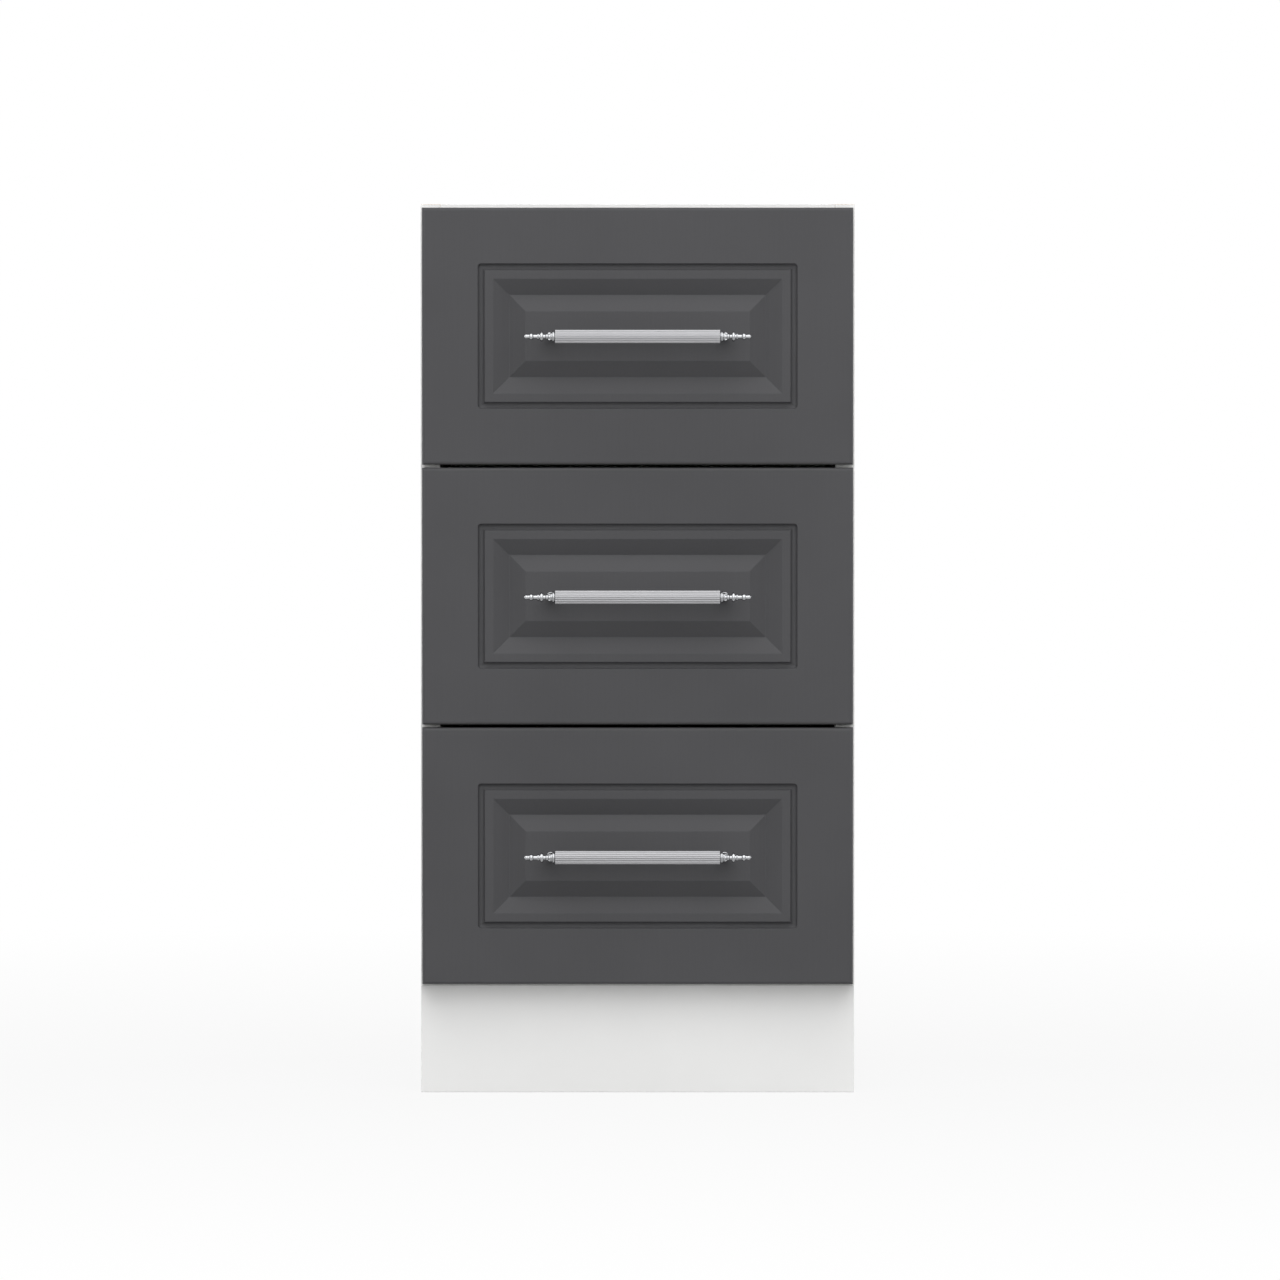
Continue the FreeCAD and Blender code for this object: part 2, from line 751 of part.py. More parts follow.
def plinth_clip():
    """Right-hand clip: a fork on the front leg's tube and a plate on the plinth."""
    z_range = (clip_top_z - clip_height, clip_top_z)
    fork_half = clip_width / 2
    gap_half = leg_tube_radius + clip_play
    wall = fork_half - gap_half
    fork_front_y = leg_front_y - gap_half - wall
    fork_rear_y = leg_front_y + clip_arm_reach
    fork = block((leg_x - fork_half, leg_x + fork_half), (fork_front_y, fork_rear_y), z_range)
    fork = fork.cut(block((leg_x - gap_half, leg_x + gap_half), (leg_front_y, fork_rear_y), z_range))
    tube_room = rod(Vector(leg_x, leg_front_y, z_range[0]), UP, gap_half, clip_height)
    fork = fork.cut(tube_room)
    plate_rear_y = plinth_rear_y + clip_plate_thickness
    plate_x = (leg_x - clip_plate_width / 2, leg_x + clip_plate_width / 2)
    plate_middle_z = clip_top_z - clip_height / 2
    plate_z = (plate_middle_z - clip_plate_height / 2, plate_middle_z + clip_plate_height / 2)
    plate = block(plate_x, (plinth_rear_y, plate_rear_y), plate_z)
    neck_x = (leg_x - clip_neck_width / 2, leg_x + clip_neck_width / 2)
    neck = block(neck_x, (plate_rear_y, fork_front_y), z_range)
    plugs = [rod(at, -REAR, clip_plug_radius, clip_plug_length) for at in plinth_plug_places()]
    return fork.fuse([plate, neck] + plugs)


# Writing the nodes

def write(node, shapes):
    """Write one named piece, or a group of separate like pieces, as a STEP file."""
    shape = shapes[0] if len(shapes) == 1 else Part.makeCompound(shapes)
    shape.exportStep("parts/" + node + ".step")


def write_pair(node, shape):
    """Write a right-hand piece and its left-hand twin as two nodes."""
    write(node + "_right", [shape])
    write(node + "_left", [mirrored(shape)])


def write_carcass():
    """Boards of the carcass and what holds them together."""
    write_pair("side_panel", side_panel())
    write("bottom_panel", [bottom_panel()])
    write("top_rail_front", [top_rail(carcass_front_y)])
    write("top_rail_rear", [top_rail(panel_rear_y - rail_depth)])
    write("back_panel", [back_panel()])
    write("back_nails", pins(nail, both(side_nail_places()) + edge_nail_places()))
    write("carcass_screws", pins(confirmat, both(rail_screw_places() + bottom_screw_places())))


def write_runners():
    """Members fixed to the cabinet, with the screws that hold them and the legs."""
    members = []
    screw_places = leg_screw_places()
    for drawer in range(drawer_count):
        members.append(cabinet_member(drawer))
        screw_places += cabinet_runner_screw_places(drawer)
    write("cabinet_runners_right", members)
    write("cabinet_runners_left", [mirrored(member) for member in members])
    write("cabinet_wood_screws", pins(wood_screw, both(screw_places)))


def write_base():
    """Legs, feet, plinth board and its clips."""
    write("leg_sockets", on_both_sides([leg_socket(axis) for axis in leg_axes()]))
    for place, axis in zip(("front", "rear"), leg_axes()):
        write_pair("foot_" + place, levelling_foot(axis))
    write("plinth_board", [plinth_board()])
    write("plinth_clips", on_both_sides([plinth_clip()]))


def write_drawer(drawer):
    """One drawer with its box, front, handle and moving runner members."""
    name = "drawer_%d_" % (drawer + 1)
    write(name + "front", [drawer_front(drawer)])
    write_pair(name + "box_side", box_side(drawer))
    write(name + "box_front", [box_front(drawer)])
    write(name + "box_back", [box_back(drawer)])
    write(name + "box_bottom", [box_bottom(drawer)])
    write(name + "handle_bar", [handle_bar(drawer)])
    write(name + "handle_ends", on_both_sides([handle_end(drawer)]))
    write(name + "handle_screws", pins(handle_screw, both(handle_screw_places(drawer))))
    write(name + "corner_screws", pins(corner_screw, both(corner_screw_places(drawer))))
    write(name + "front_screws", pins(front_screw, both(front_screw_places(drawer))))
    write(name + "runner_screws", pins(wood_screw, both(drawer_runner_screw_places(drawer))))
    write(name + "runners", on_both_sides([drawer_member(drawer)]))
    write(name + "middle_runners", on_both_sides([middle_member(drawer)]))


os.makedirs("parts", exist_ok=True)
write_carcass()
write_runners()
write_base()
for drawer_index in range(drawer_count):
    write_drawer(drawer_index)
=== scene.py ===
import json
import math

import bmesh
import bpy
from mathutils import Matrix, Vector


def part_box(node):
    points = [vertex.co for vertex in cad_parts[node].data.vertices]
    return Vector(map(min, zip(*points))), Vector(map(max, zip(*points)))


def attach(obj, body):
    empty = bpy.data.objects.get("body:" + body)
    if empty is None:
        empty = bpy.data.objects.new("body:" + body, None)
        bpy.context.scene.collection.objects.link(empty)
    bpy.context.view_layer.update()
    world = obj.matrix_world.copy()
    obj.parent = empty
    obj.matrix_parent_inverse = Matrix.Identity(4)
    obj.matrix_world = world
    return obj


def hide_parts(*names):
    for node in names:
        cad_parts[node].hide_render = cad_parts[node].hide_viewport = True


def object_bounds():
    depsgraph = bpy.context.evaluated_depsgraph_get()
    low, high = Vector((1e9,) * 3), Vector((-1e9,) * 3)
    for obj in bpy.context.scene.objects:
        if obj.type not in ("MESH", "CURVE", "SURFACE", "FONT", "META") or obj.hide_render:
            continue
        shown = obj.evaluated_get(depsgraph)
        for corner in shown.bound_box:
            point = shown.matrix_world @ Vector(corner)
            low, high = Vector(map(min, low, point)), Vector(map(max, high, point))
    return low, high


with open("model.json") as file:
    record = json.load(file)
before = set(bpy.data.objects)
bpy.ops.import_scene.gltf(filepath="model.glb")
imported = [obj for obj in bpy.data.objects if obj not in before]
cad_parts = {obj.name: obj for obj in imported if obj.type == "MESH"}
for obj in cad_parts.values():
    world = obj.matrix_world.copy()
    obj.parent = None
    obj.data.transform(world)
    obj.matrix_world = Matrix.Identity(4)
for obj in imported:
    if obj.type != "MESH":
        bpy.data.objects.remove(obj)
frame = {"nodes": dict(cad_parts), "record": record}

bl_info = {
    "name": "Drawer base cabinet",
    "version": (1, 0, 0),
    "blender": (4, 5, 0),
    "location": "3D View > Sidebar > Cabinet",
    "description": "Dresses the cabinet frame: fronts, handles, boards, runners, screws, legs and studio",
    "category": "Object",
}

CAD_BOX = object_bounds()
DRAWERS = ("drawer_1", "drawer_2", "drawer_3")
SIDES = ("left", "right")
MM = 0.001
TINY = 0.01 * MM               # points closer than this are one point
FULL_TURN = 2 * math.pi
SOFT_ANGLE = math.radians(18)  # folds sharper than this stay crisp
X, Y, Z = Vector((1, 0, 0)), Vector((0, 1, 0)), Vector((0, 0, 1))

# Discs and beads of a turned handle end: (place along the axis, crown radius, width), in mm
TURNED_DISCS = ((0.4, 4.6, 0.8), (1.75, 5.5, 1.9), (3.6, 4.2, 1.8), (12.4, 4.7, 2.6), (15.6, 3.3, 1.4))
TURNED_BEADS = ((7.5, 2.7, 2.8), (22.0, 3.3, 4.0))
TURNED_TIP = (26.5, 2.3)
TURNED_POST = 4.3 * MM         # end of the bar to the middle of the post
DISC_RIM = 0.25                # a disc's rim is this share of its width lower than its crown
CURVE_STEPS = 8                # faces across a quarter of the groove's round bottom
LIP_ROUND = 0.3 * MM           # the foil's rounding on the lips of the groove
VALLEY_ROUND = 0.4 * MM        # and on the edges of the valley
THIN_EASE = 0.2 * MM           # eased edge of a thin board
EYE_SIDE = 0.0022              # the camera stands this far to the right, in metres
AIM_HEIGHT = 0.419             # and looks at this height


def linear(code):
    """Linear colour of an sRGB hex code."""
    channels = [int(code[place:place + 2], 16) / 255 for place in (0, 2, 4)]
    return tuple(c / 12.92 if c <= 0.04045 else ((c + 0.055) / 1.055) ** 2.4 for c in channels)


def tinted(colour, share):
    """A colour made lighter or darker by a share."""
    return tuple(min(1.0, channel * share) for channel in colour)


# What a user can change

def colour_setting(name, described, code):
    """A colour setting."""
    return bpy.props.FloatVectorProperty(
        name=name, description="Colour of the " + described, subtype="COLOR", min=0, max=1,
        default=linear(code))


def length_setting(name, description, default, least, most):
    """A length setting, given in mm and kept in metres."""
    return bpy.props.FloatProperty(
        name=name, description=description, default=default * MM, min=least * MM, max=most * MM,
        unit="LENGTH")


class CabinetFinishes(bpy.types.PropertyGroup):
    """Colours of the cabinet's finishes"""
    foil: colour_setting("Front foil", "foil on the drawer fronts", "464648")
    board: colour_setting("Boards", "melamine on the carcass and drawer boards", "E6E6E5")
    plinth: colour_setting("Plinth", "foil round the plinth board", "F0F0EF")
    bar: colour_setting("Handle bar", "satin metal of the handle bars", "959597")
    bright: colour_setting("Handle ends", "polished metal of the handle ends", "A2A3A5")
    plastic: colour_setting("Legs", "moulded plastic of the legs and clips", "1D1D1E")


class CabinetFront(bpy.types.PropertyGroup):
    """Profile routed into a drawer front"""
    frame_width: length_setting("Frame", "Flat frame from the edge to the groove", 51.4, 20, 80)
    groove_radius: length_setting("Groove radius", "Half width of the round-bottomed groove", 3.2, 2, 5)
    groove_depth: length_setting("Groove depth", "Depth of the groove", 4.2, 3.5, 8)
    strip_width: length_setting("Strip", "Flat strip between the groove and the valley", 7.7, 2, 20)
    valley_fall: length_setting(
        "Outer slope", "Width of the slope that falls into the valley", 14.9, 5, 25)
    valley_rise: length_setting(
        "Inner slope", "Width of the slope that rises to the centre field", 15, 5, 25)
    valley_depth: length_setting("Valley depth", "Depth of the valley between the two slopes", 7, 1, 9)
    rim_radius: length_setting("Rim", "Radius of the front's outer edges", 3, 0.5, 4)


class CabinetHandle(bpy.types.PropertyGroup):
    """Shape of a bar handle"""
    flute_count: bpy.props.IntProperty(
        name="Flutes", description="Number of flutes round the bar", default=20, min=8, max=32)
    flute_radius: length_setting("Flute radius", "Radius of the tool that cuts a flute", 0.8, 0.3, 1.5)
    flute_depth: length_setting("Flute depth", "Depth of a flute below the bar's surface", 0.6, 0.1, 1)
    spindle_radius: length_setting("Spindle", "Radius of the thin core between the beads", 2, 1, 2.2)
    post_radius: length_setting("Post", "Radius of the post that stands on the front", 3.4, 2, 4)
    foot_ring_radius: length_setting("Foot ring", "Radius of the ring at the foot of a post", 3.9, 3, 6)
    foot_ring_height: length_setting(
        "Foot ring height", "Height of the ring at the foot of a post", 1.5, 0.5, 3)


class CabinetEdges(bpy.types.PropertyGroup):
    """How far edges are eased"""
    board: length_setting("Boards", "Width of the eased edge of a board", 0.5, 0.1, 1.5)
    sheet: length_setting("Sheet metal", "Width of the eased edge of a runner", 0.2, 0.05, 0.3)
    moulded: length_setting("Mouldings", "Width of the eased edge of a plastic part", 0.5, 0.1, 1)


class CabinetStudio(bpy.types.PropertyGroup):
    """Light and camera"""
    distance: bpy.props.FloatProperty(
        name="Distance", description="Camera to the face of the fronts",
        default=12, min=2, max=30, unit="LENGTH")
    eye_height: bpy.props.FloatProperty(
        name="Eye height", description="Height of the camera above the floor",
        default=0.822, min=0, max=3, unit="LENGTH")
    lens: bpy.props.FloatProperty(
        name="Lens", description="Focal length on a sensor 36 mm wide, in mm",
        default=366.7, min=20, max=600)
    key_power: bpy.props.FloatProperty(
        name="Key light", description="Power of the tall soft lamp above the camera",
        default=257, min=0, max=1000, unit="POWER")
    fill_power: bpy.props.FloatProperty(
        name="Fill lights", description="Power of each soft lamp at the sides and the rear",
        default=90, min=0, max=1000, unit="POWER")
    room_light: bpy.props.FloatProperty(
        name="Room light", description="Even light from all round", default=0.05, min=0, max=2)


# Modelling tools

def only(piece):
    """Make one piece the selected and the active one."""
    bpy.ops.object.select_all(action="DESELECT")
    piece.select_set(True)
    bpy.context.view_layer.objects.active = piece


def placed(name):
    """Name the new primitive and put its place, turn and size into its mesh."""
    piece = bpy.context.active_object
    piece.name = name
    piece.data.name = name
    bpy.ops.object.transform_apply(location=True, rotation=True, scale=True)
    return piece


def block(name, low, high):
    """Cube drawn between two corners."""
    bpy.ops.object.select_all(action="DESELECT")
    bpy.ops.mesh.primitive_cube_add(size=1, location=(low + high) / 2, scale=high - low)
    return placed(name)


def rod(name, start, along, radius, length, sides=48):
    """Cylinder from a point in one direction."""
    bpy.ops.object.select_all(action="DESELECT")
    turn = along.to_track_quat("Z", "Y").to_euler()
    bpy.ops.mesh.primitive_cylinder_add(
        vertices=sides, radius=radius, depth=length, location=start + along * length / 2, rotation=turn)
    return placed(name)


def start_edit(piece):
    """Enter edit mode on one piece, with nothing selected."""
    only(piece)
    bpy.ops.object.mode_set(mode="EDIT")
    bpy.ops.mesh.select_mode(type="VERT")
    bpy.ops.mesh.select_all(action="DESELECT")


def end_edit():
    """Back to object mode."""
    bpy.ops.object.mode_set(mode="OBJECT")


def pick_faces(piece, test):
    """In edit mode, select the faces whose middle and normal pass a test."""
    bpy.ops.mesh.select_mode(type="FACE")
    bpy.ops.mesh.select_all(action="DESELECT")
    mesh = bmesh.from_edit_mesh(piece.data)
    for face in mesh.faces:
        if test(face.calc_center_median(), face.normal):
            face.select_set(True)
    bmesh.update_edit_mesh(piece.data)


def pick_edges(piece, test):
    """In edit mode, select the edges whose two ends pass a test."""
    bpy.ops.mesh.select_mode(type="EDGE")
    bpy.ops.mesh.select_all(action="DESELECT")
    mesh = bmesh.from_edit_mesh(piece.data)
    for edge in mesh.edges:
        if test(edge.verts[0].co, edge.verts[1].co):
            edge.select_set(True)
    bmesh.update_edit_mesh(piece.data)


def ease(piece, test, width, steps):
    """Round the edges whose two ends pass a test."""
    start_edit(piece)
    pick_edges(piece, test)
    bpy.ops.mesh.bevel(offset=width, segments=steps, profile=0.5, affect="EDGES")
    end_edit()


def finished(piece, kind, **settings):
    """Add one modifier to a piece and apply it."""
    only(piece)
    modifier = piece.modifiers.new(kind.title(), kind)
    for setting, value in settings.items():
        setattr(modifier, setting, value)
    bpy.ops.object.modifier_apply(modifier=modifier.name)


def combine(piece, tool, operation):
    """Boolean of a piece with a tool, which is used up."""
    finished(piece, "BOOLEAN", object=tool, operation=operation, solver="EXACT")
    bpy.data.objects.remove(tool)


def ring_of(piece, count, centre, axis):
    """Repeat the whole mesh round an axis, as its own separate shells."""
    start_edit(piece)
    bpy.ops.mesh.select_all(action="SELECT")
    bpy.ops.mesh.spin(
        steps=count - 1, dupli=True, angle=FULL_TURN * (count - 1) / count, center=centre, axis=axis)
    end_edit()


def lathe(name, start, axis, out, outline, steps=48):
    """Turned solid. The outline gives (distance along the axis, radius) in mm, from axis to axis."""
    bpy.ops.object.select_all(action="DESELECT")
    points = [start + axis * (along * MM) + out * (radius * MM) for along, radius in outline]
    bpy.ops.mesh.primitive_plane_add(size=1 * MM, location=points[0])
    piece = placed(name)
    start_edit(piece)
    bpy.ops.mesh.select_all(action="SELECT")
    bpy.ops.mesh.merge(type="CENTER")
    pen = points[0]
    for point in points[1:]:
        bpy.ops.mesh.extrude_vertices_move(TRANSFORM_OT_translate={"value": point - pen})
        pen = point
    bpy.ops.mesh.select_all(action="SELECT")
    bpy.ops.mesh.spin(steps=steps, angle=FULL_TURN, center=start, axis=axis)
    bpy.ops.mesh.select_all(action="SELECT")
    bpy.ops.mesh.remove_doubles(threshold=TINY)
    bpy.ops.mesh.normals_make_consistent(inside=False)
    end_edit()
    return piece


def copied(piece, name, shift):
    """A copy with its own mesh, moved by a shift."""
    only(piece)
    bpy.ops.object.duplicate_move(TRANSFORM_OT_translate={"value": shift})
    return placed(name)


def joined(pieces, name):
    """Several pieces as one object."""
    whole = pieces[0]
    others = [piece.name for piece in pieces[1:]]
    only(whole)
    for piece in pieces[1:]:
        piece.select_set(True)
    bpy.ops.object.join()
    for other in others:
        if other in bpy.data.objects:
            bpy.data.objects.remove(bpy.data.objects[other])
    whole.name = name
    whole.data.name = name
    return whole


def keep_within(piece, low, high):
    """Move points that an eased corner pushed out of a box back onto its faces."""
    for point in piece.data.vertices:
        point.co = [min(max(place, floor), roof) for place, floor, roof in zip(point.co, low, high)]


def smooth(piece, crisp=None):
    """Smooth shading, with folds and the edges that pass a test crisp, and large flat faces flat."""
    only(piece)
    bpy.ops.object.shade_smooth_by_angle(angle=SOFT_ANGLE)
    if crisp:
        start_edit(piece)
        pick_edges(piece, crisp)
        bpy.ops.mesh.mark_sharp()
        end_edit()
    finished(piece, "WEIGHTED_NORMAL", keep_sharp=True, weight=50)


def eased_copy(node, name, width):
    """A node's own shape as one closed mesh, with its sharp edges eased."""
    source = frame["nodes"][node]
    piece = bpy.data.objects.new(name, source.data.copy())
    piece.data.name = name
    piece.data.materials.clear()
    bpy.context.scene.collection.objects.link(piece)
    start_edit(piece)
    bpy.ops.mesh.customdata_custom_splitnormals_clear()
    bpy.ops.mesh.select_all(action="SELECT")
    bpy.ops.mesh.remove_doubles(threshold=TINY)
    bpy.ops.mesh.dissolve_limited(angle_limit=math.radians(0.5))
    end_edit()
    finished(piece, "BEVEL", width=width, segments=2, limit_method="ANGLE",
             angle_limit=math.radians(35), use_clamp_overlap=False, miter_outer="MITER_ARC")
    keep_within(piece, *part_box(node))
    smooth(piece)
    return piece


def islands(node):
    """The separate solids of a node, each as a list of its points."""
    mesh = bmesh.new()
    mesh.from_mesh(frame["nodes"][node].data)
    bmesh.ops.remove_doubles(mesh, verts=mesh.verts, dist=TINY)
    found = []
    left = set(mesh.verts)
    while left:
        edge_of = [left.pop()]
        group = []
        while edge_of:
            vertex = edge_of.pop()
            group.append(vertex.co.copy())
            for edge in vertex.link_edges:
                other = edge.other_vert(vertex)
                if other in left:
                    left.remove(other)
                    edge_of.append(other)
        found.append(group)
    mesh.free()
    return found


def seats(node):
    """Head end and direction of each pin of a node: its widest end is the head."""
    places = []
    for points in islands(node):
        low = Vector([min(point[axis] for point in points) for axis in range(3)])
        high = Vector([max(point[axis] for point in points) for axis in range(3)])
        size = high - low
        axis = max(range(3), key=lambda index: size[index])
        middle = (low + high) / 2
        near = [point for point in points if point[axis] < middle[axis]]
        far = [point for point in points if point[axis] > middle[axis]]
        reach_near = max((point - middle).cross((X, Y, Z)[axis]).length for point in near)
        reach_far = max((point - middle).cross((X, Y, Z)[axis]).length for point in far)
        head_low = reach_near > reach_far
        head = middle.copy()
        head[axis] = low[axis] if head_low else high[axis]
        along = (X, Y, Z)[axis] * (1 if head_low else -1)
        places.append((head, along))
    return places


def dressed(piece, body, slot, *nodes):
    """Tie a finished piece to its body and hide the nodes that it stands for. The slot is not used."""
    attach(piece, body)
    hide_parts(*nodes)


def on_each_drawer(model, ending, slot, node, guide):
    """Put a copy of a model on each drawer, by the place of a guide node. The model is used up."""
    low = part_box(DRAWERS[0] + guide)[0]
    for drawer in DRAWERS:
        piece = copied(model, drawer + ending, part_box(drawer + guide)[0] - low)
        dressed(piece, drawer, slot, drawer + node)
    bpy.data.objects.remove(model)


def dress_node(node, name, width, slot, *finishes, choose=None):
    """Dress a node in its own shape, with eased edges and its finishes."""
    piece = eased_copy(node, name, width)
    paint(piece, *finishes, choose=choose)
    dressed(piece, body_of(node), slot, node)


def body_of(node):
    """The body that a node belongs to."""
    bodies = frame["record"]["behaviour"]["bodies"]
    return next(body for body, nodes in bodies.items() if node in nodes)


# Finishes

def add(tree, kind, inputs, stops=(), **settings):
    """Add one shader node with its settings, colour stops and inputs. A node links its first output."""
    node = tree.nodes.new("ShaderNode" + kind)
    for setting, value in settings.items():
        setattr(node, setting, value)
    for index, (place, colour) in enumerate(stops):
        if index > 1:
            node.color_ramp.elements.new(place)
        node.color_ramp.elements[index].position = place
        node.color_ramp.elements[index].color = (*colour, 1)
    for socket, value in inputs.items():
        if isinstance(value, bpy.types.Node):
            value = value.outputs[0]
        if isinstance(value, bpy.types.NodeSocket):
            tree.links.new(value, node.inputs[socket])
        else:
            node.inputs[socket].default_value = value
    return node


def blank(name):
    """New empty material, its node tree and the place on the object."""
    material = bpy.data.materials.new(name)
    material.use_nodes = True
    tree = material.node_tree
    tree.nodes.clear()
    return material, tree, add(tree, "TexCoord", {}).outputs["Object"]


def surface(material, kind, inputs):
    """Finish a material with its shader node."""
    tree = material.node_tree
    add(tree, "OutputMaterial", {"Surface": add(tree, kind, inputs)})
    return material


def matt_foil(colour):
    """Front foil"""
    # Matt PVC foil drawn over routed board in a membrane press: an even dark grey with little
    # gloss, and a fine upright grain from the embossing roller.
    material, tree, place = blank("pvc_foil_membrane_pressed_matt")
    # Grain lines about 1.5 mm wide and 60 mm long, three times as wide as real so that they show
    upright = add(tree, "Mapping", {"Vector": place, "Scale": (650, 650, 16)})
    lines = add(tree, "TexNoise", {"Vector": upright, "Scale": 1, "Detail": 3, "Roughness": 0.6})
    clouds = add(tree, "TexNoise", {"Vector": place, "Scale": 9, "Detail": 2})
    shade = add(tree, "Math", {0: lines, 1: clouds}, operation="ADD")
    half = add(tree, "Math", {0: shade, 1: 0.5}, operation="MULTIPLY")
    tone = add(tree, "ValToRGB", {"Fac": half},
               stops=((0.35, tinted(colour, 0.93)), (0.65, tinted(colour, 1.07))))
    gloss = add(tree, "MapRange", {"Value": lines, "From Min": 0.3, "From Max": 0.7,
                                   "To Min": 0.6, "To Max": 0.72})
    grain = add(tree, "Bump", {"Height": lines, "Strength": 0.25, "Distance": 0.05 * MM})
    return surface(material, "BsdfPrincipled", {
        "Base Color": tone, "Roughness": gloss, "Normal": grain, "IOR": 1.35})


def melamine(colour):
    """Board faces"""
    # Melamine resin paper pressed on chipboard: clean white, satin, with the shallow pearl
    # texture of the press plate.
    material, tree, place = blank("melamine_faced_chipboard_pearl_satin")
    # Pearls of 1 mm, drawn 2 mm wide so that they show
    pearls = add(tree, "TexVoronoi", {"Vector": place, "Scale": 500}, feature="SMOOTH_F1")
    clouds = add(tree, "TexNoise", {"Vector": place, "Scale": 14, "Detail": 3})
    tone = add(tree, "ValToRGB", {"Fac": clouds},
               stops=((0.3, tinted(colour, 0.975)), (0.7, tinted(colour, 1.01))))
    gloss = add(tree, "MapRange", {"Value": clouds, "To Min": 0.36, "To Max": 0.5})
    texture = add(tree, "Bump", {"Height": pearls, "Strength": 0.2, "Distance": 0.06 * MM})
    return surface(material, "BsdfPrincipled", {
        "Base Color": tone, "Roughness": gloss, "Normal": texture, "IOR": 1.5})


def plinth_foil(colour):
    """Plinth board"""
    # Chipboard wrapped in smooth white polypropylene foil: a shade brighter than the melamine,
    # satin, with the slight orange peel of the glue beneath it.
    material, tree, place = blank("chipboard_wrapped_white_foil")
    # Dimples 3 mm wide
    peel = add(tree, "TexNoise", {"Vector": place, "Scale": 330, "Detail": 1})
    clouds = add(tree, "TexNoise", {"Vector": place, "Scale": 11, "Detail": 2})
    tone = add(tree, "ValToRGB", {"Fac": clouds},
               stops=((0.3, tinted(colour, 0.985)), (0.7, tinted(colour, 1.01))))
    gloss = add(tree, "MapRange", {"Value": clouds, "To Min": 0.42, "To Max": 0.52})
    dimples = add(tree, "Bump", {"Height": peel, "Strength": 0.1, "Distance": 0.04 * MM})
    return surface(material, "BsdfPrincipled", {
        "Base Color": tone, "Roughness": gloss, "Normal": dimples, "IOR": 1.5})


def edge_band(colour):
    """Edged sides of a board"""
    # ABS edge band, glued on and scraped: the same white, a little glossier, with the faint
    # cross waves that the trimming cutter leaves.
    material, tree, place = blank("abs_edge_band_scraped")
    # Cutter waves 4 mm apart
    waves = add(tree, "TexWave", {"Vector": place, "Scale": 40, "Distortion": 1.5, "Detail": 1},
                bands_direction="DIAGONAL")
    tone = add(tree, "ValToRGB", {"Fac": waves.outputs["Fac"]},
               stops=((0, tinted(colour, 0.985)), (1, colour)))
    ripple = add(tree, "Bump", {"Height": waves.outputs["Fac"], "Strength": 0.15, "Distance": 0.03 * MM})
    return surface(material, "BsdfPrincipled", {
        "Base Color": tone, "Roughness": 0.34, "Normal": ripple, "IOR": 1.53})


def raw_chipboard():
    """Cut edges without a band"""
    # Sawn three-layer chipboard: pale and dark softwood flakes 2 to 4 mm long, rough and dull.
    material, tree, place = blank("chipboard_core_sawn")
    flat = add(tree, "Mapping", {"Vector": place, "Scale": (330, 330, 700)})
    flakes = add(tree, "TexVoronoi", {"Vector": flat, "Scale": 1}, feature="F1")
    fibres = add(tree, "TexNoise", {"Vector": place, "Scale": 900, "Detail": 4})
    mix = add(tree, "Math", {0: flakes, 1: fibres}, operation="MULTIPLY")
    tone = add(tree, "ValToRGB", {"Fac": mix},
               stops=((0.08, linear("D8BE94")), (0.3, linear("B4925F")), (0.55, linear("7A5A36"))))
    pits = add(tree, "Bump", {"Height": mix, "Strength": 0.7, "Distance": 0.4 * MM}, invert=True)
    return surface(material, "BsdfPrincipled", {
        "Base Color": tone, "Roughness": 0.88, "Normal": pits, "IOR": 1.5})


def hardboard_rear():
    """Unlacquered side of the thin boards"""
    # Wet-process hardboard seen from its rough side: warm brown fibres with the imprint of the
    # wire screen that it was pressed on.
    material, tree, place = blank("hardboard_screen_side")
    # Screen of 1.5 mm, drawn 3 mm so that it shows
    across = add(tree, "TexWave", {"Vector": place, "Scale": 53, "Distortion": 0.6}, bands_direction="X")
    upward = add(tree, "TexWave", {"Vector": place, "Scale": 53, "Distortion": 0.6}, bands_direction="Z")
    screen = add(tree, "Math", {0: across.outputs["Fac"], 1: upward.outputs["Fac"]},
                 operation="MULTIPLY")
    fibres = add(tree, "TexNoise", {"Vector": place, "Scale": 160, "Detail": 6, "Roughness": 0.7})
    tone = add(tree, "ValToRGB", {"Fac": fibres},
               stops=((0.3, linear("7C5C3B")), (0.5, linear("9A7650")), (0.72, linear("B6946A"))))
    imprint = add(tree, "Bump", {"Height": screen, "Strength": 0.5, "Distance": 0.25 * MM})
    return surface(material, "BsdfPrincipled", {
        "Base Color": tone, "Roughness": 0.8, "Normal": imprint, "IOR": 1.5})


def satin_metal(colour):
    """Handle bars"""
    # Extruded aluminium, satin brushed along the bar and lacquered in a nickel tone: soft bright
    # streaks along the flutes.
    material, tree, place = blank("aluminium_extruded_satin_brushed")
    # Brush lines about 0.3 mm apart and 80 mm long
    drawn = add(tree, "Mapping", {"Vector": place, "Scale": (12, 3300, 3300)})
    brushed = add(tree, "TexNoise", {"Vector": drawn, "Scale": 1, "Detail": 3, "Roughness": 0.65})
    tone = add(tree, "ValToRGB", {"Fac": brushed},
               stops=((0.3, tinted(colour, 0.95)), (0.7, tinted(colour, 1.04))))
    gloss = add(tree, "MapRange", {"Value": brushed, "From Min": 0.3, "From Max": 0.7,
                                   "To Min": 0.36, "To Max": 0.46})
    scratch = add(tree, "Bump", {"Height": brushed, "Strength": 0.08, "Distance": 0.02 * MM})
    return surface(material, "BsdfPrincipled", {
        "Base Color": tone, "Metallic": 1.0, "Roughness": gloss, "Normal": scratch})


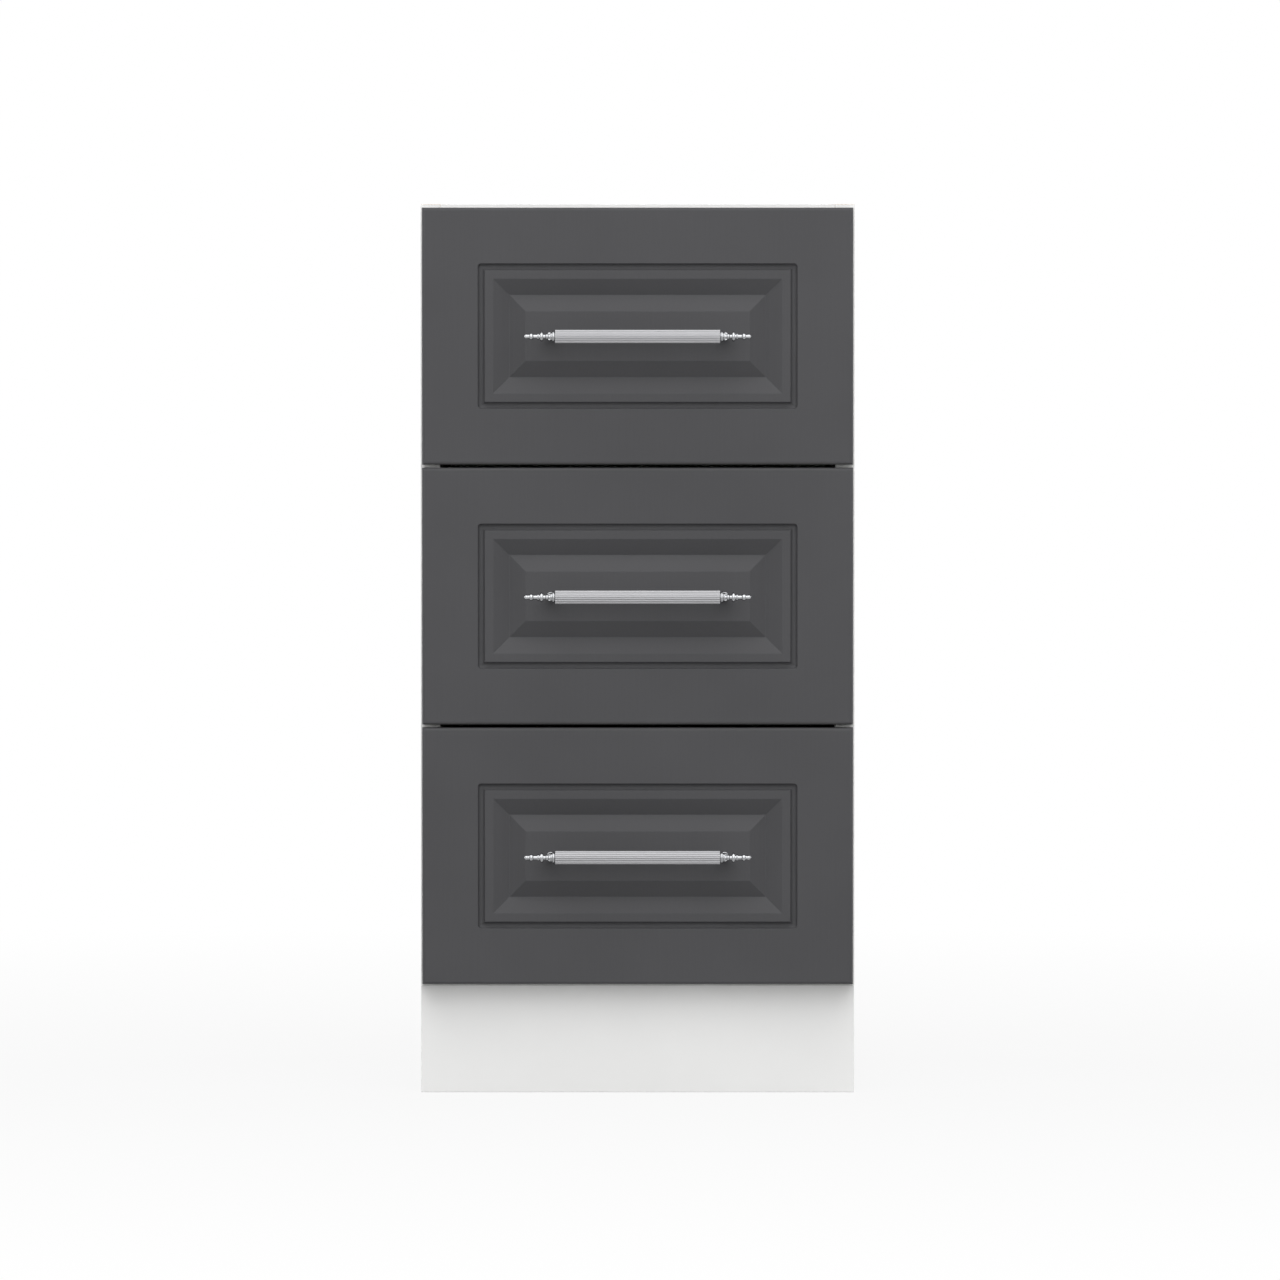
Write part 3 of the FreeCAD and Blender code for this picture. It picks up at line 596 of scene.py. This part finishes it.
def polished_chrome(colour):
    """Handle ends"""
    # Turned zinc casting with bright chrome plate: a soft mirror with faint turning rings and
    # a light haze from handling.
    material, tree, place = blank("zinc_casting_chrome_plated")
    rings = add(tree, "TexWave", {"Vector": place, "Scale": 600, "Distortion": 0.4}, bands_direction="X")
    haze = add(tree, "TexNoise", {"Vector": place, "Scale": 220, "Detail": 4})
    tone = add(tree, "ValToRGB", {"Fac": haze},
               stops=((0.3, tinted(colour, 0.95)), (0.7, tinted(colour, 1.02))))
    gloss = add(tree, "MapRange", {"Value": haze, "From Min": 0.3, "From Max": 0.75,
                                   "To Min": 0.2, "To Max": 0.28})
    turned = add(tree, "Bump", {"Height": rings.outputs["Fac"], "Strength": 0.05, "Distance": 0.02 * MM})
    return surface(material, "BsdfPrincipled", {
        "Base Color": tone, "Metallic": 1.0, "Roughness": gloss, "Normal": turned})


def zinc_sheet():
    """Runner members"""
    # Cold-rolled steel strip, bright zinc plated: cool grey with faint rolling lines along the
    # strip and cloudy patches in the plating.
    material, tree, place = blank("steel_strip_zinc_plated")
    # Rolling lines about 0.7 mm apart
    rolled = add(tree, "Mapping", {"Vector": place, "Scale": (1400, 18, 1400)})
    lines = add(tree, "TexNoise", {"Vector": rolled, "Scale": 1, "Detail": 3})
    clouds = add(tree, "TexNoise", {"Vector": place, "Scale": 60, "Detail": 4})
    mix = add(tree, "Math", {0: lines, 1: clouds}, operation="MULTIPLY")
    tone = add(tree, "ValToRGB", {"Fac": mix},
               stops=((0.12, linear("9CA1A6")), (0.4, linear("C3C7CB"))))
    gloss = add(tree, "MapRange", {"Value": clouds, "From Min": 0.3, "From Max": 0.7,
                                   "To Min": 0.24, "To Max": 0.42})
    strip = add(tree, "Bump", {"Height": lines, "Strength": 0.15, "Distance": 0.04 * MM})
    return surface(material, "BsdfPrincipled", {
        "Base Color": tone, "Metallic": 1.0, "Roughness": gloss, "Normal": strip})


def zinc_screw():
    """Screws and nails"""
    # Cold-headed steel wire, zinc plated and passivated: slightly yellow grey, with small dull
    # spots where the parts tumbled against each other.
    material, tree, place = blank("steel_screw_zinc_passivated")
    spots = add(tree, "TexNoise", {"Vector": place, "Scale": 500, "Detail": 4})
    tone = add(tree, "ValToRGB", {"Fac": spots},
               stops=((0.35, linear("9B9A92")), (0.65, linear("C2C1B8"))))
    gloss = add(tree, "MapRange", {"Value": spots, "From Min": 0.3, "From Max": 0.7,
                                   "To Min": 0.22, "To Max": 0.45})
    dents = add(tree, "Bump", {"Height": spots, "Strength": 0.2, "Distance": 0.05 * MM})
    return surface(material, "BsdfPrincipled", {
        "Base Color": tone, "Metallic": 1.0, "Roughness": gloss, "Normal": dents})


def moulded_plastic(colour):
    """Legs and clips"""
    # Injection moulded polypropylene, black: the fine spark-eroded grain of the mould makes it
    # dull, with faint flow marks.
    material, tree, place = blank("polypropylene_moulded_black_grained")
    # Grain of 0.3 mm, drawn 0.8 mm so that it shows
    grain = add(tree, "TexNoise", {"Vector": place, "Scale": 1250, "Detail": 3, "Roughness": 0.6})
    flow = add(tree, "TexNoise", {"Vector": place, "Scale": 45, "Detail": 2})
    tone = add(tree, "ValToRGB", {"Fac": flow},
               stops=((0.3, tinted(colour, 0.85)), (0.7, tinted(colour, 1.2))))
    gloss = add(tree, "MapRange", {"Value": grain, "From Min": 0.3, "From Max": 0.7,
                                   "To Min": 0.42, "To Max": 0.6})
    eroded = add(tree, "Bump", {"Height": grain, "Strength": 0.35, "Distance": 0.08 * MM})
    return surface(material, "BsdfPrincipled", {
        "Base Color": tone, "Roughness": gloss, "Normal": eroded, "IOR": 1.49})


def finish(name):
    """A finish by name, made on first use in the user's colours."""
    colours = bpy.context.scene.cabinet_finishes
    makers = {
        "foil": lambda: matt_foil(colours.foil),
        "melamine": lambda: melamine(colours.board),
        "edge": lambda: edge_band(colours.board),
        "plinth": lambda: plinth_foil(colours.plinth),
        "chipboard": raw_chipboard,
        "hardboard": hardboard_rear,
        "bar": lambda: satin_metal(colours.bar),
        "chrome": lambda: polished_chrome(colours.bright),
        "sheet": zinc_sheet,
        "screw": zinc_screw,
        "plastic": lambda: moulded_plastic(colours.plastic),
    }
    if name not in FINISHES:
        FINISHES[name] = makers[name]()
    return FINISHES[name]


FINISHES = {}


def paint(piece, *finishes, choose=None):
    """Give a piece its finishes. Each face's middle and normal choose one, or it is the first."""
    for name in finishes:
        piece.data.materials.append(finish(name))
    for face in piece.data.polygons:
        face.material_index = finishes.index(choose(face.center, face.normal)) if choose else 0


# Pieces

def inset(point, low, high):
    """Distance from a point to the nearest edge of the front between two corners."""
    return min(point.x - low.x, high.x - point.x, point.z - low.z, high.z - point.z)


def groove_pocket(profile, low, high):
    """Pocket with the groove's outer wall, which curves down to the groove's bottom."""
    corner = Vector((high.x, low.y, high.z))
    edge = Vector((profile.frame_width, 0, profile.frame_width))
    deep = Y * profile.groove_depth
    pocket = block("groove_pocket", low + edge - deep, corner - edge + deep)
    bottom = low.y + profile.groove_depth - TINY
    ease(pocket, lambda a, b: abs(a.y - b.y) > TINY, profile.groove_radius, CURVE_STEPS)
    ease(pocket, lambda a, b: min(a.y, b.y) > bottom, profile.groove_radius, CURVE_STEPS)
    start_edit(pocket)
    bpy.ops.mesh.select_all(action="SELECT")
    bpy.ops.mesh.remove_doubles(threshold=2 * TINY)
    end_edit()
    return pocket


def groove_island(profile, low, high):
    """Middle of the front. The groove's inner wall curves up from the bottom, then rises straight."""
    corner = Vector((high.x, low.y, high.z))
    radius = profile.groove_radius
    edge = Vector((profile.frame_width + radius, 0, profile.frame_width + radius))
    deep = Y * profile.groove_depth
    island = block("groove_island", low + edge + deep, corner - edge + 2 * deep)
    start_edit(island)
    pick_faces(island, lambda middle, normal: normal.y < -0.9)
    for step in range(CURVE_STEPS):
        turn, next_turn = (FULL_TURN / 4 * place / CURVE_STEPS for place in (step, step + 1))
        bpy.ops.mesh.inset(thickness=radius * (math.sin(next_turn) - math.sin(turn)),
                           depth=radius * (math.cos(turn) - math.cos(next_turn)))
    bpy.ops.mesh.inset(thickness=0, depth=profile.groove_depth - radius)
    end_edit()
    return island


def front_shape(profile, low, high):
    """Drawer front between two corners, with its routed profile."""
    slab = block("front_slab", low, high)
    ease(slab, lambda a, b: max(a.y, b.y) < low.y + TINY, profile.rim_radius, 6)
    combine(slab, groove_pocket(profile, low, high), "DIFFERENCE")
    combine(slab, groove_island(profile, low, high), "UNION")
    centre = Vector(((low.x + high.x) / 2, low.y, (low.z + high.z) / 2))
    start_edit(slab)
    pick_faces(slab, lambda middle, normal: (middle - centre).length < MM)
    bpy.ops.mesh.inset(thickness=profile.strip_width)
    bpy.ops.mesh.inset(thickness=profile.valley_fall, depth=-profile.valley_depth)
    bpy.ops.mesh.inset(thickness=profile.valley_rise, depth=profile.valley_depth)
    end_edit()
    return slab


def soften_profile(piece, profile, low, high):
    """Round the edges of the routed profile as the foil rounds them."""
    strip = profile.frame_width + 2 * profile.groove_radius

    def groove_lip(a, b):
        at_face = max(a.y, b.y) < low.y + TINY
        places = (inset(a, low, high), inset(b, low, high))
        return at_face and profile.frame_width - TINY < min(places) and max(places) < strip + TINY

    def valley_edge(a, b):
        level = abs(a.y - b.y) < TINY
        places = (inset(a, low, high), inset(b, low, high))
        return level and abs(places[0] - places[1]) < TINY and min(places) > strip + TINY

    ease(piece, groove_lip, LIP_ROUND, 4)
    ease(piece, valley_edge, VALLEY_ROUND, 3)
    keep_within(piece, low, high)


def mitre(low, high, start):
    """Rule for the edges on the diagonals of a front, where two slopes meet."""
    def on_diagonal(point):
        side = min(point.x - low.x, high.x - point.x)
        level = min(point.z - low.z, high.z - point.z)
        return side > start and abs(side - level) < TINY

    return lambda a, b: on_diagonal(a) and on_diagonal(b)


class CABINET_OT_fronts(bpy.types.Operator):
    """Model the profiled fronts of the three drawers"""
    bl_idname = "cabinet.fronts"
    bl_label = "Drawer fronts"

    def execute(self, context):
        profile = context.scene.cabinet_front
        low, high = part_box("drawer_1_front")
        model = front_shape(profile, low, high)
        soften_profile(model, profile, low, high)
        smooth(model, mitre(low, high, profile.frame_width + 2 * profile.groove_radius))
        rear = high.y - TINY
        paint(model, "foil", "melamine",
              choose=lambda middle, normal: "melamine" if middle.y > rear else "foil")
        on_each_drawer(model, "_foil_front", "front_foil", "_front", "_front")
        return {"FINISHED"}


class CABINET_OT_handle_bars(bpy.types.Operator):
    """Model the fluted handle bars"""
    bl_idname = "cabinet.handle_bars"
    bl_label = "Handle bars"

    def execute(self, context):
        handle = context.scene.cabinet_handle
        low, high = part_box("drawer_1_handle_bar")
        radius = (high.y - low.y) / 2
        start = Vector((low.x, (low.y + high.y) / 2, (low.z + high.z) / 2))
        length = high.x - low.x
        bar = rod("bar", start, X, radius, length, sides=160)
        half_step = FULL_TURN / handle.flute_count / 2
        reach = radius - handle.flute_depth + handle.flute_radius
        offset = Vector((-MM, reach * math.cos(half_step), reach * math.sin(half_step)))
        flutes = rod("flutes", start + offset, X, handle.flute_radius, length + 2 * MM, sides=24)
        ring_of(flutes, handle.flute_count, start, X)
        combine(bar, flutes, "DIFFERENCE")
        smooth(bar)
        paint(bar, "bar")
        on_each_drawer(bar, "_fluted_bar", "handle_bar_metal", "_handle_bar", "_handle_bar")
        return {"FINISHED"}


def arc(start, crown, end, steps):
    """Points on the arc from one point over a crown to another, without the first."""
    half = (end[0] - start[0]) / 2
    rise = crown[1] - start[1]
    radius = (half ** 2 + rise ** 2) / (2 * rise)
    centre = (crown[0], crown[1] - radius)
    first = math.atan2(start[1] - centre[1], start[0] - centre[0])
    last = math.atan2(end[1] - centre[1], end[0] - centre[0])
    if last > first:
        last -= FULL_TURN
    points = []
    for step in range(1, steps + 1):
        angle = first + (last - first) * step / steps
        points.append((centre[0] + radius * math.cos(angle), centre[1] + radius * math.sin(angle)))
    return points


def turned_outline(handle):
    """Outline of a turned end as (distance from the bar, radius), in mm."""
    spindle = handle.spindle_radius / MM
    parts = [(place, radius, width, radius - DISC_RIM * width) for place, radius, width in TURNED_DISCS]
    parts += [(place, radius, width, spindle) for place, radius, width in TURNED_BEADS]
    points = [(0.0, 0.0)]
    for place, crown, width, shoulder in sorted(parts):
        start = place - width / 2
        if start > points[-1][0] + 0.001:
            points += [(points[-1][0], spindle), (start, spindle)]
        points.append((start, shoulder))
        points += arc((start, shoulder), (place, crown), (start + width, shoulder), 10)
    tip_place, tip_radius = TURNED_TIP
    tip_start = tip_place - math.sqrt(tip_radius ** 2 - spindle ** 2)
    points += [(points[-1][0], spindle), (tip_start, spindle)]
    first = math.atan2(spindle, tip_start - tip_place)
    for step in range(1, 13):
        angle = first * (1 - step / 12)
        points.append((tip_place + tip_radius * math.cos(angle), tip_radius * math.sin(angle)))
    points[-1] = (tip_place + tip_radius, 0.0)
    kept = [points[0]]
    for point in points[1:]:
        if math.dist(point, kept[-1]) > 0.002:
            kept.append(point)
    return kept


def handle_end_shape(handle, bar_end, face_y):
    """Right end of a handle: turned spindle with its post and foot ring."""
    end = lathe("handle_end", bar_end, X, Z, turned_outline(handle), steps=56)
    post_start = bar_end + X * TURNED_POST
    post = rod("post", post_start, Y, handle.post_radius, face_y - bar_end.y, sides=56)
    ring_start = Vector((post_start.x, face_y - handle.foot_ring_height, post_start.z))
    ring = rod("foot_ring", ring_start, Y, handle.foot_ring_radius, handle.foot_ring_height, sides=56)
    ease(ring, lambda a, b: max(a.y, b.y) < ring_start.y + TINY, 0.6 * MM, 5)
    combine(post, ring, "UNION")
    combine(end, post, "UNION")
    return end


class CABINET_OT_handle_ends(bpy.types.Operator):
    """Model the turned and plated ends of the handles"""
    bl_idname = "cabinet.handle_ends"
    bl_label = "Handle ends"

    def execute(self, context):
        handle = context.scene.cabinet_handle
        low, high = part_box("drawer_1_handle_bar")
        bar_end = Vector((high.x, (low.y + high.y) / 2, (low.z + high.z) / 2))
        face_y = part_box("drawer_1_front")[0].y
        right = handle_end_shape(handle, bar_end, face_y)
        left = copied(right, "left_end", Vector())
        start_edit(left)
        bpy.ops.mesh.select_all(action="SELECT")
        bpy.ops.transform.mirror(constraint_axis=(True, False, False), center_override=(0, 0, 0))
        bpy.ops.mesh.normals_make_consistent(inside=False)
        end_edit()
        for side, model in zip(SIDES, (left, right)):
            smooth(model)
            paint(model, "chrome")
            on_each_drawer(model, "_turned_end_" + side, "handle_end_chrome", "_handle_ends", "_handle_bar")
        return {"FINISHED"}


def board_faces(node, raw, banded):
    """Rule for a board's faces: raw edges, banded edges, melamine elsewhere. Sides are like '+z'."""
    low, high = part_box(node)
    axes = {"x": X, "y": Y, "z": Z}

    def choose(middle, normal):
        for names, kind in ((raw, "chipboard"), (banded, "edge")):
            for name in names:
                outward = axes[name[1]] * (1 if name[0] == "+" else -1)
                limit = high if name[0] == "+" else low
                at_limit = abs((middle - limit).dot(outward)) < MM
                if normal.dot(outward) > 0.9 and at_limit:
                    return kind
        return "melamine"

    return choose


class CABINET_OT_carcass(bpy.types.Operator):
    """Model the carcass boards and the nailed back"""
    bl_idname = "cabinet.carcass"
    bl_label = "Carcass boards"

    def execute(self, context):
        width = context.scene.cabinet_edges.board
        boards = {
            "side_panel_left": (("+z", "+y", "-z"), ("-y",)),
            "side_panel_right": (("+z", "+y", "-z"), ("-y",)),
            "bottom_panel": (("+y",), ("-y", "-x", "+x")),
            "top_rail_front": (("+y", "-x", "+x"), ("-y",)),
            "top_rail_rear": (("+y", "-x", "+x"), ("-y",)),
        }
        for node, (raw, banded) in boards.items():
            dress_node(node, node + "_board", width, "carcass_board", "melamine", "edge", "chipboard",
                       choose=board_faces(node, raw, banded))
        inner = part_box("back_panel")[0].y + 0.3 * MM
        dress_node("back_panel", "back_hardboard", THIN_EASE, "thin_board", "melamine", "hardboard",
                   choose=lambda middle, normal: "melamine" if middle.y < inner else "hardboard")
        return {"FINISHED"}


class CABINET_OT_boxes(bpy.types.Operator):
    """Model the boards of the three drawer boxes"""
    bl_idname = "cabinet.boxes"
    bl_label = "Drawer boxes"

    def execute(self, context):
        width = context.scene.cabinet_edges.board
        for drawer in DRAWERS:
            for board in ("box_side_left", "box_side_right", "box_front", "box_back"):
                node = drawer + "_" + board
                ends = ("-y", "+y") if "side" in board else ("-x", "+x")
                dress_node(node, node + "_board", width, "box_board", "melamine", "edge", "chipboard",
                           choose=board_faces(node, ("-z",), ("+z",) + ends))
            node = drawer + "_box_bottom"
            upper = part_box(node)[1].z - 0.3 * MM
            dress_node(node, node + "_hardboard", THIN_EASE, "thin_board", "melamine", "hardboard",
                       choose=lambda middle, normal: "melamine" if middle.z > upper else "hardboard")
        return {"FINISHED"}


class CABINET_OT_runners(bpy.types.Operator):
    """Model the three members of each drawer runner"""
    bl_idname = "cabinet.runners"
    bl_label = "Runners"

    def execute(self, context):
        width = context.scene.cabinet_edges.sheet
        nodes = ["cabinet_runners_left", "cabinet_runners_right"]
        for drawer in DRAWERS:
            nodes += [drawer + "_runners", drawer + "_middle_runners"]
        for node in nodes:
            dress_node(node, node + "_strip", width, "runner_steel", "sheet")
        return {"FINISHED"}


# Outline of a screw as (distance from the head, radius), then the kind, size and depth of its
# recess, all in mm
FLAT_HEAD = ((0, 0), (0, 3.8), (0.2, 4))
SCREWS = {
    "confirmat": (((0, 0), (0, 4.8), (0.25, 5), (4, 3.3), (46, 3.3), (50, 1.5), (50, 0)),
                  "hexagon", 2.3, 3),
    "long": (FLAT_HEAD + ((3.2, 2.5), (46, 2.5), (50, 0.4), (50, 0)), "cross", 2.2, 2),
    "short": (FLAT_HEAD + ((2.4, 2), (26, 2), (29, 0.4), (29, 0)), "cross", 2.2, 1.8),
    "pan": (((0, 0), (0.05, 1.4), (0.3, 2.5), (0.8, 3.2), (1.3, 3.4), (1.8, 3.4), (1.8, 1.75),
             (12.5, 1.75), (15.8, 0.3), (15.8, 0)), "cross", 1.9, 1.3),
    "machine": (((0, 0), (0.1, 1.7), (0.5, 3), (1.2, 3.8), (1.8, 4), (2.6, 4), (2.6, 2), (44, 2),
                 (44.6, 1.6), (44.6, 0)), "cross", 2.3, 1.8),
    "nail": (((0, 0), (0.05, 1.6), (0.3, 2.3), (0.55, 2.5), (0.8, 2.5), (0.8, 0.8), (20.8, 0.8),
              (22.8, 0.1), (22.8, 0)), "", 0, 0),
}


def recess(kind, size, depth):
    """Tool that presses a hexagon or a cross into a screw head, which lies at the origin along Z."""
    if kind == "hexagon":
        return rod("recess", Z * -MM, Z, size, depth + MM, sides=6)
    arms = []
    for across in (Vector((size, size * 0.24, 0)), Vector((size * 0.24, size, 0))):
        arms.append(block("recess", -across - Z * MM, across + Z * depth))
    combine(arms[0], arms[1], "UNION")
    start_edit(arms[0])
    pick_faces(arms[0], lambda middle, normal: middle.z > depth - TINY)
    bpy.ops.transform.resize(value=(0.55, 0.55, 1), center_override=(0, 0, depth))
    end_edit()
    return arms[0]


def screw_shape(outline, kind, size, depth):
    """Screw with its head at the origin and its shank along Z."""
    screw = lathe("screw", Vector(), Z, X, outline, steps=28)
    if kind:
        combine(screw, recess(kind, size * MM, depth * MM), "DIFFERENCE")
    smooth(screw)
    paint(screw, "screw")
    return screw


def set_screws(model, name, node):
    """Put one copy of a screw on each seat of a node."""
    screws = []
    for head, along in seats(node):
        screw = copied(model, "screw", Vector())
        turn = along.to_track_quat("Z", "Y").to_matrix().to_4x4()
        screw.data.transform(Matrix.Translation(head) @ turn)
        screws.append(screw)
    piece = joined(screws, name)
    dressed(piece, body_of(node), "screw_steel", node)


class CABINET_OT_screws(bpy.types.Operator):
    """Model the screws and nails and set one on each seat"""
    bl_idname = "cabinet.screws"
    bl_label = "Screws and nails"

    def execute(self, context):
        models = {kind: screw_shape(*SCREWS[kind]) for kind in SCREWS}
        set_screws(models["confirmat"], "carcass_hex_screws", "carcass_screws")
        set_screws(models["nail"], "back_panel_nails", "back_nails")
        set_screws(models["pan"], "cabinet_pan_screws", "cabinet_wood_screws")
        for drawer in DRAWERS:
            set_screws(models["long"], drawer + "_box_corner_screws", drawer + "_corner_screws")
            set_screws(models["short"], drawer + "_front_fixing_screws", drawer + "_front_screws")
            set_screws(models["machine"], drawer + "_handle_machine_screws", drawer + "_handle_screws")
            set_screws(models["pan"], drawer + "_runner_pan_screws", drawer + "_runner_screws")
        for model in models.values():
            bpy.data.objects.remove(model)
        return {"FINISHED"}


def foot_shape(low, high):
    """Levelling foot: rounded pad, grip ring with notches and threaded stud."""
    axis = Vector(((low.x + high.x) / 2, (low.y + high.y) / 2, low.z))
    pad = (high.x - low.x) / 2 / MM
    top = (high.z - low.z) / MM
    core, crest, pitch = 11.4, 12, 3
    outline = [(0, 0), (0, pad - 1.2), (0.4, pad - 0.4), (1.2, pad), (4.2, pad), (5.2, pad - 0.5),
               (6, pad - 1.8), (6, 17), (14.4, 17), (15, 16.4), (15, core)]
    height = 16.5
    while height + pitch < top - 1:
        outline += [(height, core), (height + 0.9, crest), (height + 1.5, crest), (height + 2.4, core)]
        height += pitch
    outline += [(top - 1, core), (top, 10.6), (top, 0)]
    foot = lathe("foot", axis, Z, X, outline, steps=64)
    notch_start = axis + X * 18.2 * MM + Z * 7.2 * MM
    notches = rod("notches", notch_start, Z, 2 * MM, 10 * MM, sides=20)
    ring_of(notches, 16, axis, Z)
    combine(foot, notches, "DIFFERENCE")
    return foot


class CABINET_OT_legs(bpy.types.Operator):
    """Model the leg sockets and the levelling feet"""
    bl_idname = "cabinet.legs"
    bl_label = "Legs"

    def execute(self, context):
        width = context.scene.cabinet_edges.moulded
        dress_node("leg_sockets", "leg_sockets_moulded", width, "black_plastic", "plastic")
        first = "foot_front_left"
        low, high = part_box(first)
        model = foot_shape(low, high)
        smooth(model)
        paint(model, "plastic")
        for place in ("front", "rear"):
            for side in SIDES:
                node = "foot_%s_%s" % (place, side)
                foot = copied(model, node + "_threaded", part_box(node)[0] - low)
                dressed(foot, body_of(node), "black_plastic", node)
        bpy.data.objects.remove(model)
        return {"FINISHED"}


class CABINET_OT_plinth(bpy.types.Operator):
    """Model the plinth board and its clips"""
    bl_idname = "cabinet.plinth"
    bl_label = "Plinth"

    def execute(self, context):
        edges = context.scene.cabinet_edges
        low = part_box("plinth_board")[0].z + TINY
        dress_node("plinth_board", "plinth_front_board", edges.board, "plinth_board", "plinth", "chipboard",
                   choose=lambda middle, normal: "chipboard" if middle.z < low else "plinth")
        dress_node("plinth_clips", "plinth_clips_moulded", edges.moulded, "black_plastic", "plastic")
        return {"FINISHED"}


# Studio

def seen_rays(tree):
    """1 for rays from the camera, a reflection or a glass, 0 for light that the scene bounces."""
    path = add(tree, "LightPath", {}).outputs
    seen = add(tree, "Math", {0: path["Is Camera Ray"], 1: path["Is Glossy Ray"]}, operation="MAXIMUM")
    return add(tree, "Math", {0: seen, 1: path["Is Transmission Ray"]}, operation="MAXIMUM")


def studio_floor():
    """Floor and backdrop"""
    # Seamless white paper, matt. Rays from the camera and from reflections see a white glow mixed into the
    # lit paper, so the ground stays white with the object's shadow on it. The glow is all of what is seen
    # 2.5 m away and
    # 90 per cent within 0.4 m of the middle, which paints the floor a little darker round the object.
    material, tree, place = blank("seamless_paper_white")
    fibres = add(tree, "TexNoise", {"Vector": place, "Scale": 300, "Detail": 2})
    tone = add(tree, "ValToRGB", {"Fac": fibres},
               stops=((0.3, linear("B0B0B0")), (0.7, linear("B4B4B4"))))
    paper = add(tree, "BsdfDiffuse", {"Color": tone})
    glow = add(tree, "Emission", {"Color": (1, 1, 1, 1), "Strength": 1.0})
    # Painted shade: the glow's share drops towards the object, so the floor shows greyer close to it
    away = add(tree, "VectorMath", {0: place}, operation="LENGTH")
    white = add(tree, "MapRange", {"Value": away.outputs["Value"], "From Min": 0.4, "From Max": 2.5,
                                   "To Min": 0.9, "To Max": 1.0})
    share = add(tree, "Math", {0: seen_rays(tree), 1: white}, operation="MULTIPLY")
    return surface(material, "MixShader", {0: share, 1: paper, 2: glow})


def area_lamp(name, place, aim, width, height, power):
    """Soft lamp that faces a point."""
    data = bpy.data.lights.new(name, "AREA")
    data.shape = "RECTANGLE"
    data.size = width
    data.size_y = height
    data.energy = power
    lamp = bpy.data.objects.new(name, data)
    lamp.location = place
    lamp.rotation_euler = (aim - place).to_track_quat("-Z", "Y").to_euler()
    bpy.context.scene.collection.objects.link(lamp)


class CABINET_OT_studio(bpy.types.Operator):
    """Set up the floor, the soft lights and the camera"""
    bl_idname = "cabinet.studio"
    bl_label = "Studio"

    def execute(self, context):
        scene = context.scene
        studio = scene.cabinet_studio
        low, high = CAD_BOX
        bpy.ops.object.select_all(action="DESELECT")
        bpy.ops.mesh.primitive_plane_add(size=200, location=(0, 0, 0))
        floor = placed("studio_floor")
        floor.data.materials.append(studio_floor())

        world = bpy.data.worlds.new("studio_room")
        world.use_nodes = True
        tree = world.node_tree
        tree.nodes.clear()
        strength = add(tree, "MapRange", {
            "Value": seen_rays(tree), "To Min": studio.room_light, "To Max": 1.0})
        room = add(tree, "Background", {"Color": (1, 1, 1, 1), "Strength": strength})
        add(tree, "OutputWorld", {"Surface": room})
        scene.world = world

        face_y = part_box("drawer_1_front")[0].y
        middle = Vector((0, face_y, (low[2] + high[2]) / 2))
        area_lamp("key_lamp", middle + Vector((0, -2.7, 2.5)), middle, 6, 6.4, studio.key_power)
        for name, side in (("left_lamp", -X), ("right_lamp", X), ("rear_lamp", Y)):
            place = middle + side * 4 + Z * 1.2 + Y * 1.3
            area_lamp(name, place, middle + Y * 0.3, 2.4, 2.4, studio.fill_power)

        data = bpy.data.cameras.new("front_view")
        data.sensor_width = 36
        data.lens = studio.lens
        data.clip_end = 100
        camera = bpy.data.objects.new("front_view", data)
        camera.location = (EYE_SIDE, face_y - studio.distance, studio.eye_height)
        aim = Vector((EYE_SIDE, face_y, AIM_HEIGHT))
        camera.rotation_euler = (aim - camera.location).to_track_quat("-Z", "Y").to_euler()
        scene.collection.objects.link(camera)
        scene.camera = camera
        scene.view_settings.view_transform = "Standard"
        return {"FINISHED"}


class CABINET_PT_panel(bpy.types.Panel):
    """Cabinet's settings and steps"""
    bl_idname = "CABINET_PT_panel"
    bl_label = "Cabinet"
    bl_space_type = "VIEW_3D"
    bl_region_type = "UI"
    bl_category = "Cabinet"

    def draw(self, context):
        for name in GROUPS:
            box = self.layout.box()
            group = getattr(context.scene, name)
            box.label(text=group.bl_rna.description)
            for setting in group.__annotations__:
                box.prop(group, setting)
        for step in STEPS:
            self.layout.operator(step.bl_idname)


GROUPS = {
    "cabinet_finishes": CabinetFinishes,
    "cabinet_front": CabinetFront,
    "cabinet_handle": CabinetHandle,
    "cabinet_edges": CabinetEdges,
    "cabinet_studio": CabinetStudio,
}
STEPS = (
    CABINET_OT_fronts, CABINET_OT_handle_bars, CABINET_OT_handle_ends, CABINET_OT_carcass,
    CABINET_OT_boxes, CABINET_OT_runners, CABINET_OT_screws, CABINET_OT_legs, CABINET_OT_plinth,
    CABINET_OT_studio,
)


def register():
    for name, group in GROUPS.items():
        bpy.utils.register_class(group)
        setattr(bpy.types.Scene, name, bpy.props.PointerProperty(type=group))
    for step in STEPS:
        bpy.utils.register_class(step)
    bpy.utils.register_class(CABINET_PT_panel)


def unregister():
    bpy.utils.unregister_class(CABINET_PT_panel)
    for step in reversed(STEPS):
        bpy.utils.unregister_class(step)
    for name, group in reversed(GROUPS.items()):
        delattr(bpy.types.Scene, name)
        bpy.utils.unregister_class(group)


def main():
    """Register and dress the whole cabinet."""
    register()
    for step in STEPS:
        group, name = step.bl_idname.split(".")
        getattr(getattr(bpy.ops, group), name)()


if __name__ == "__main__":
    main()
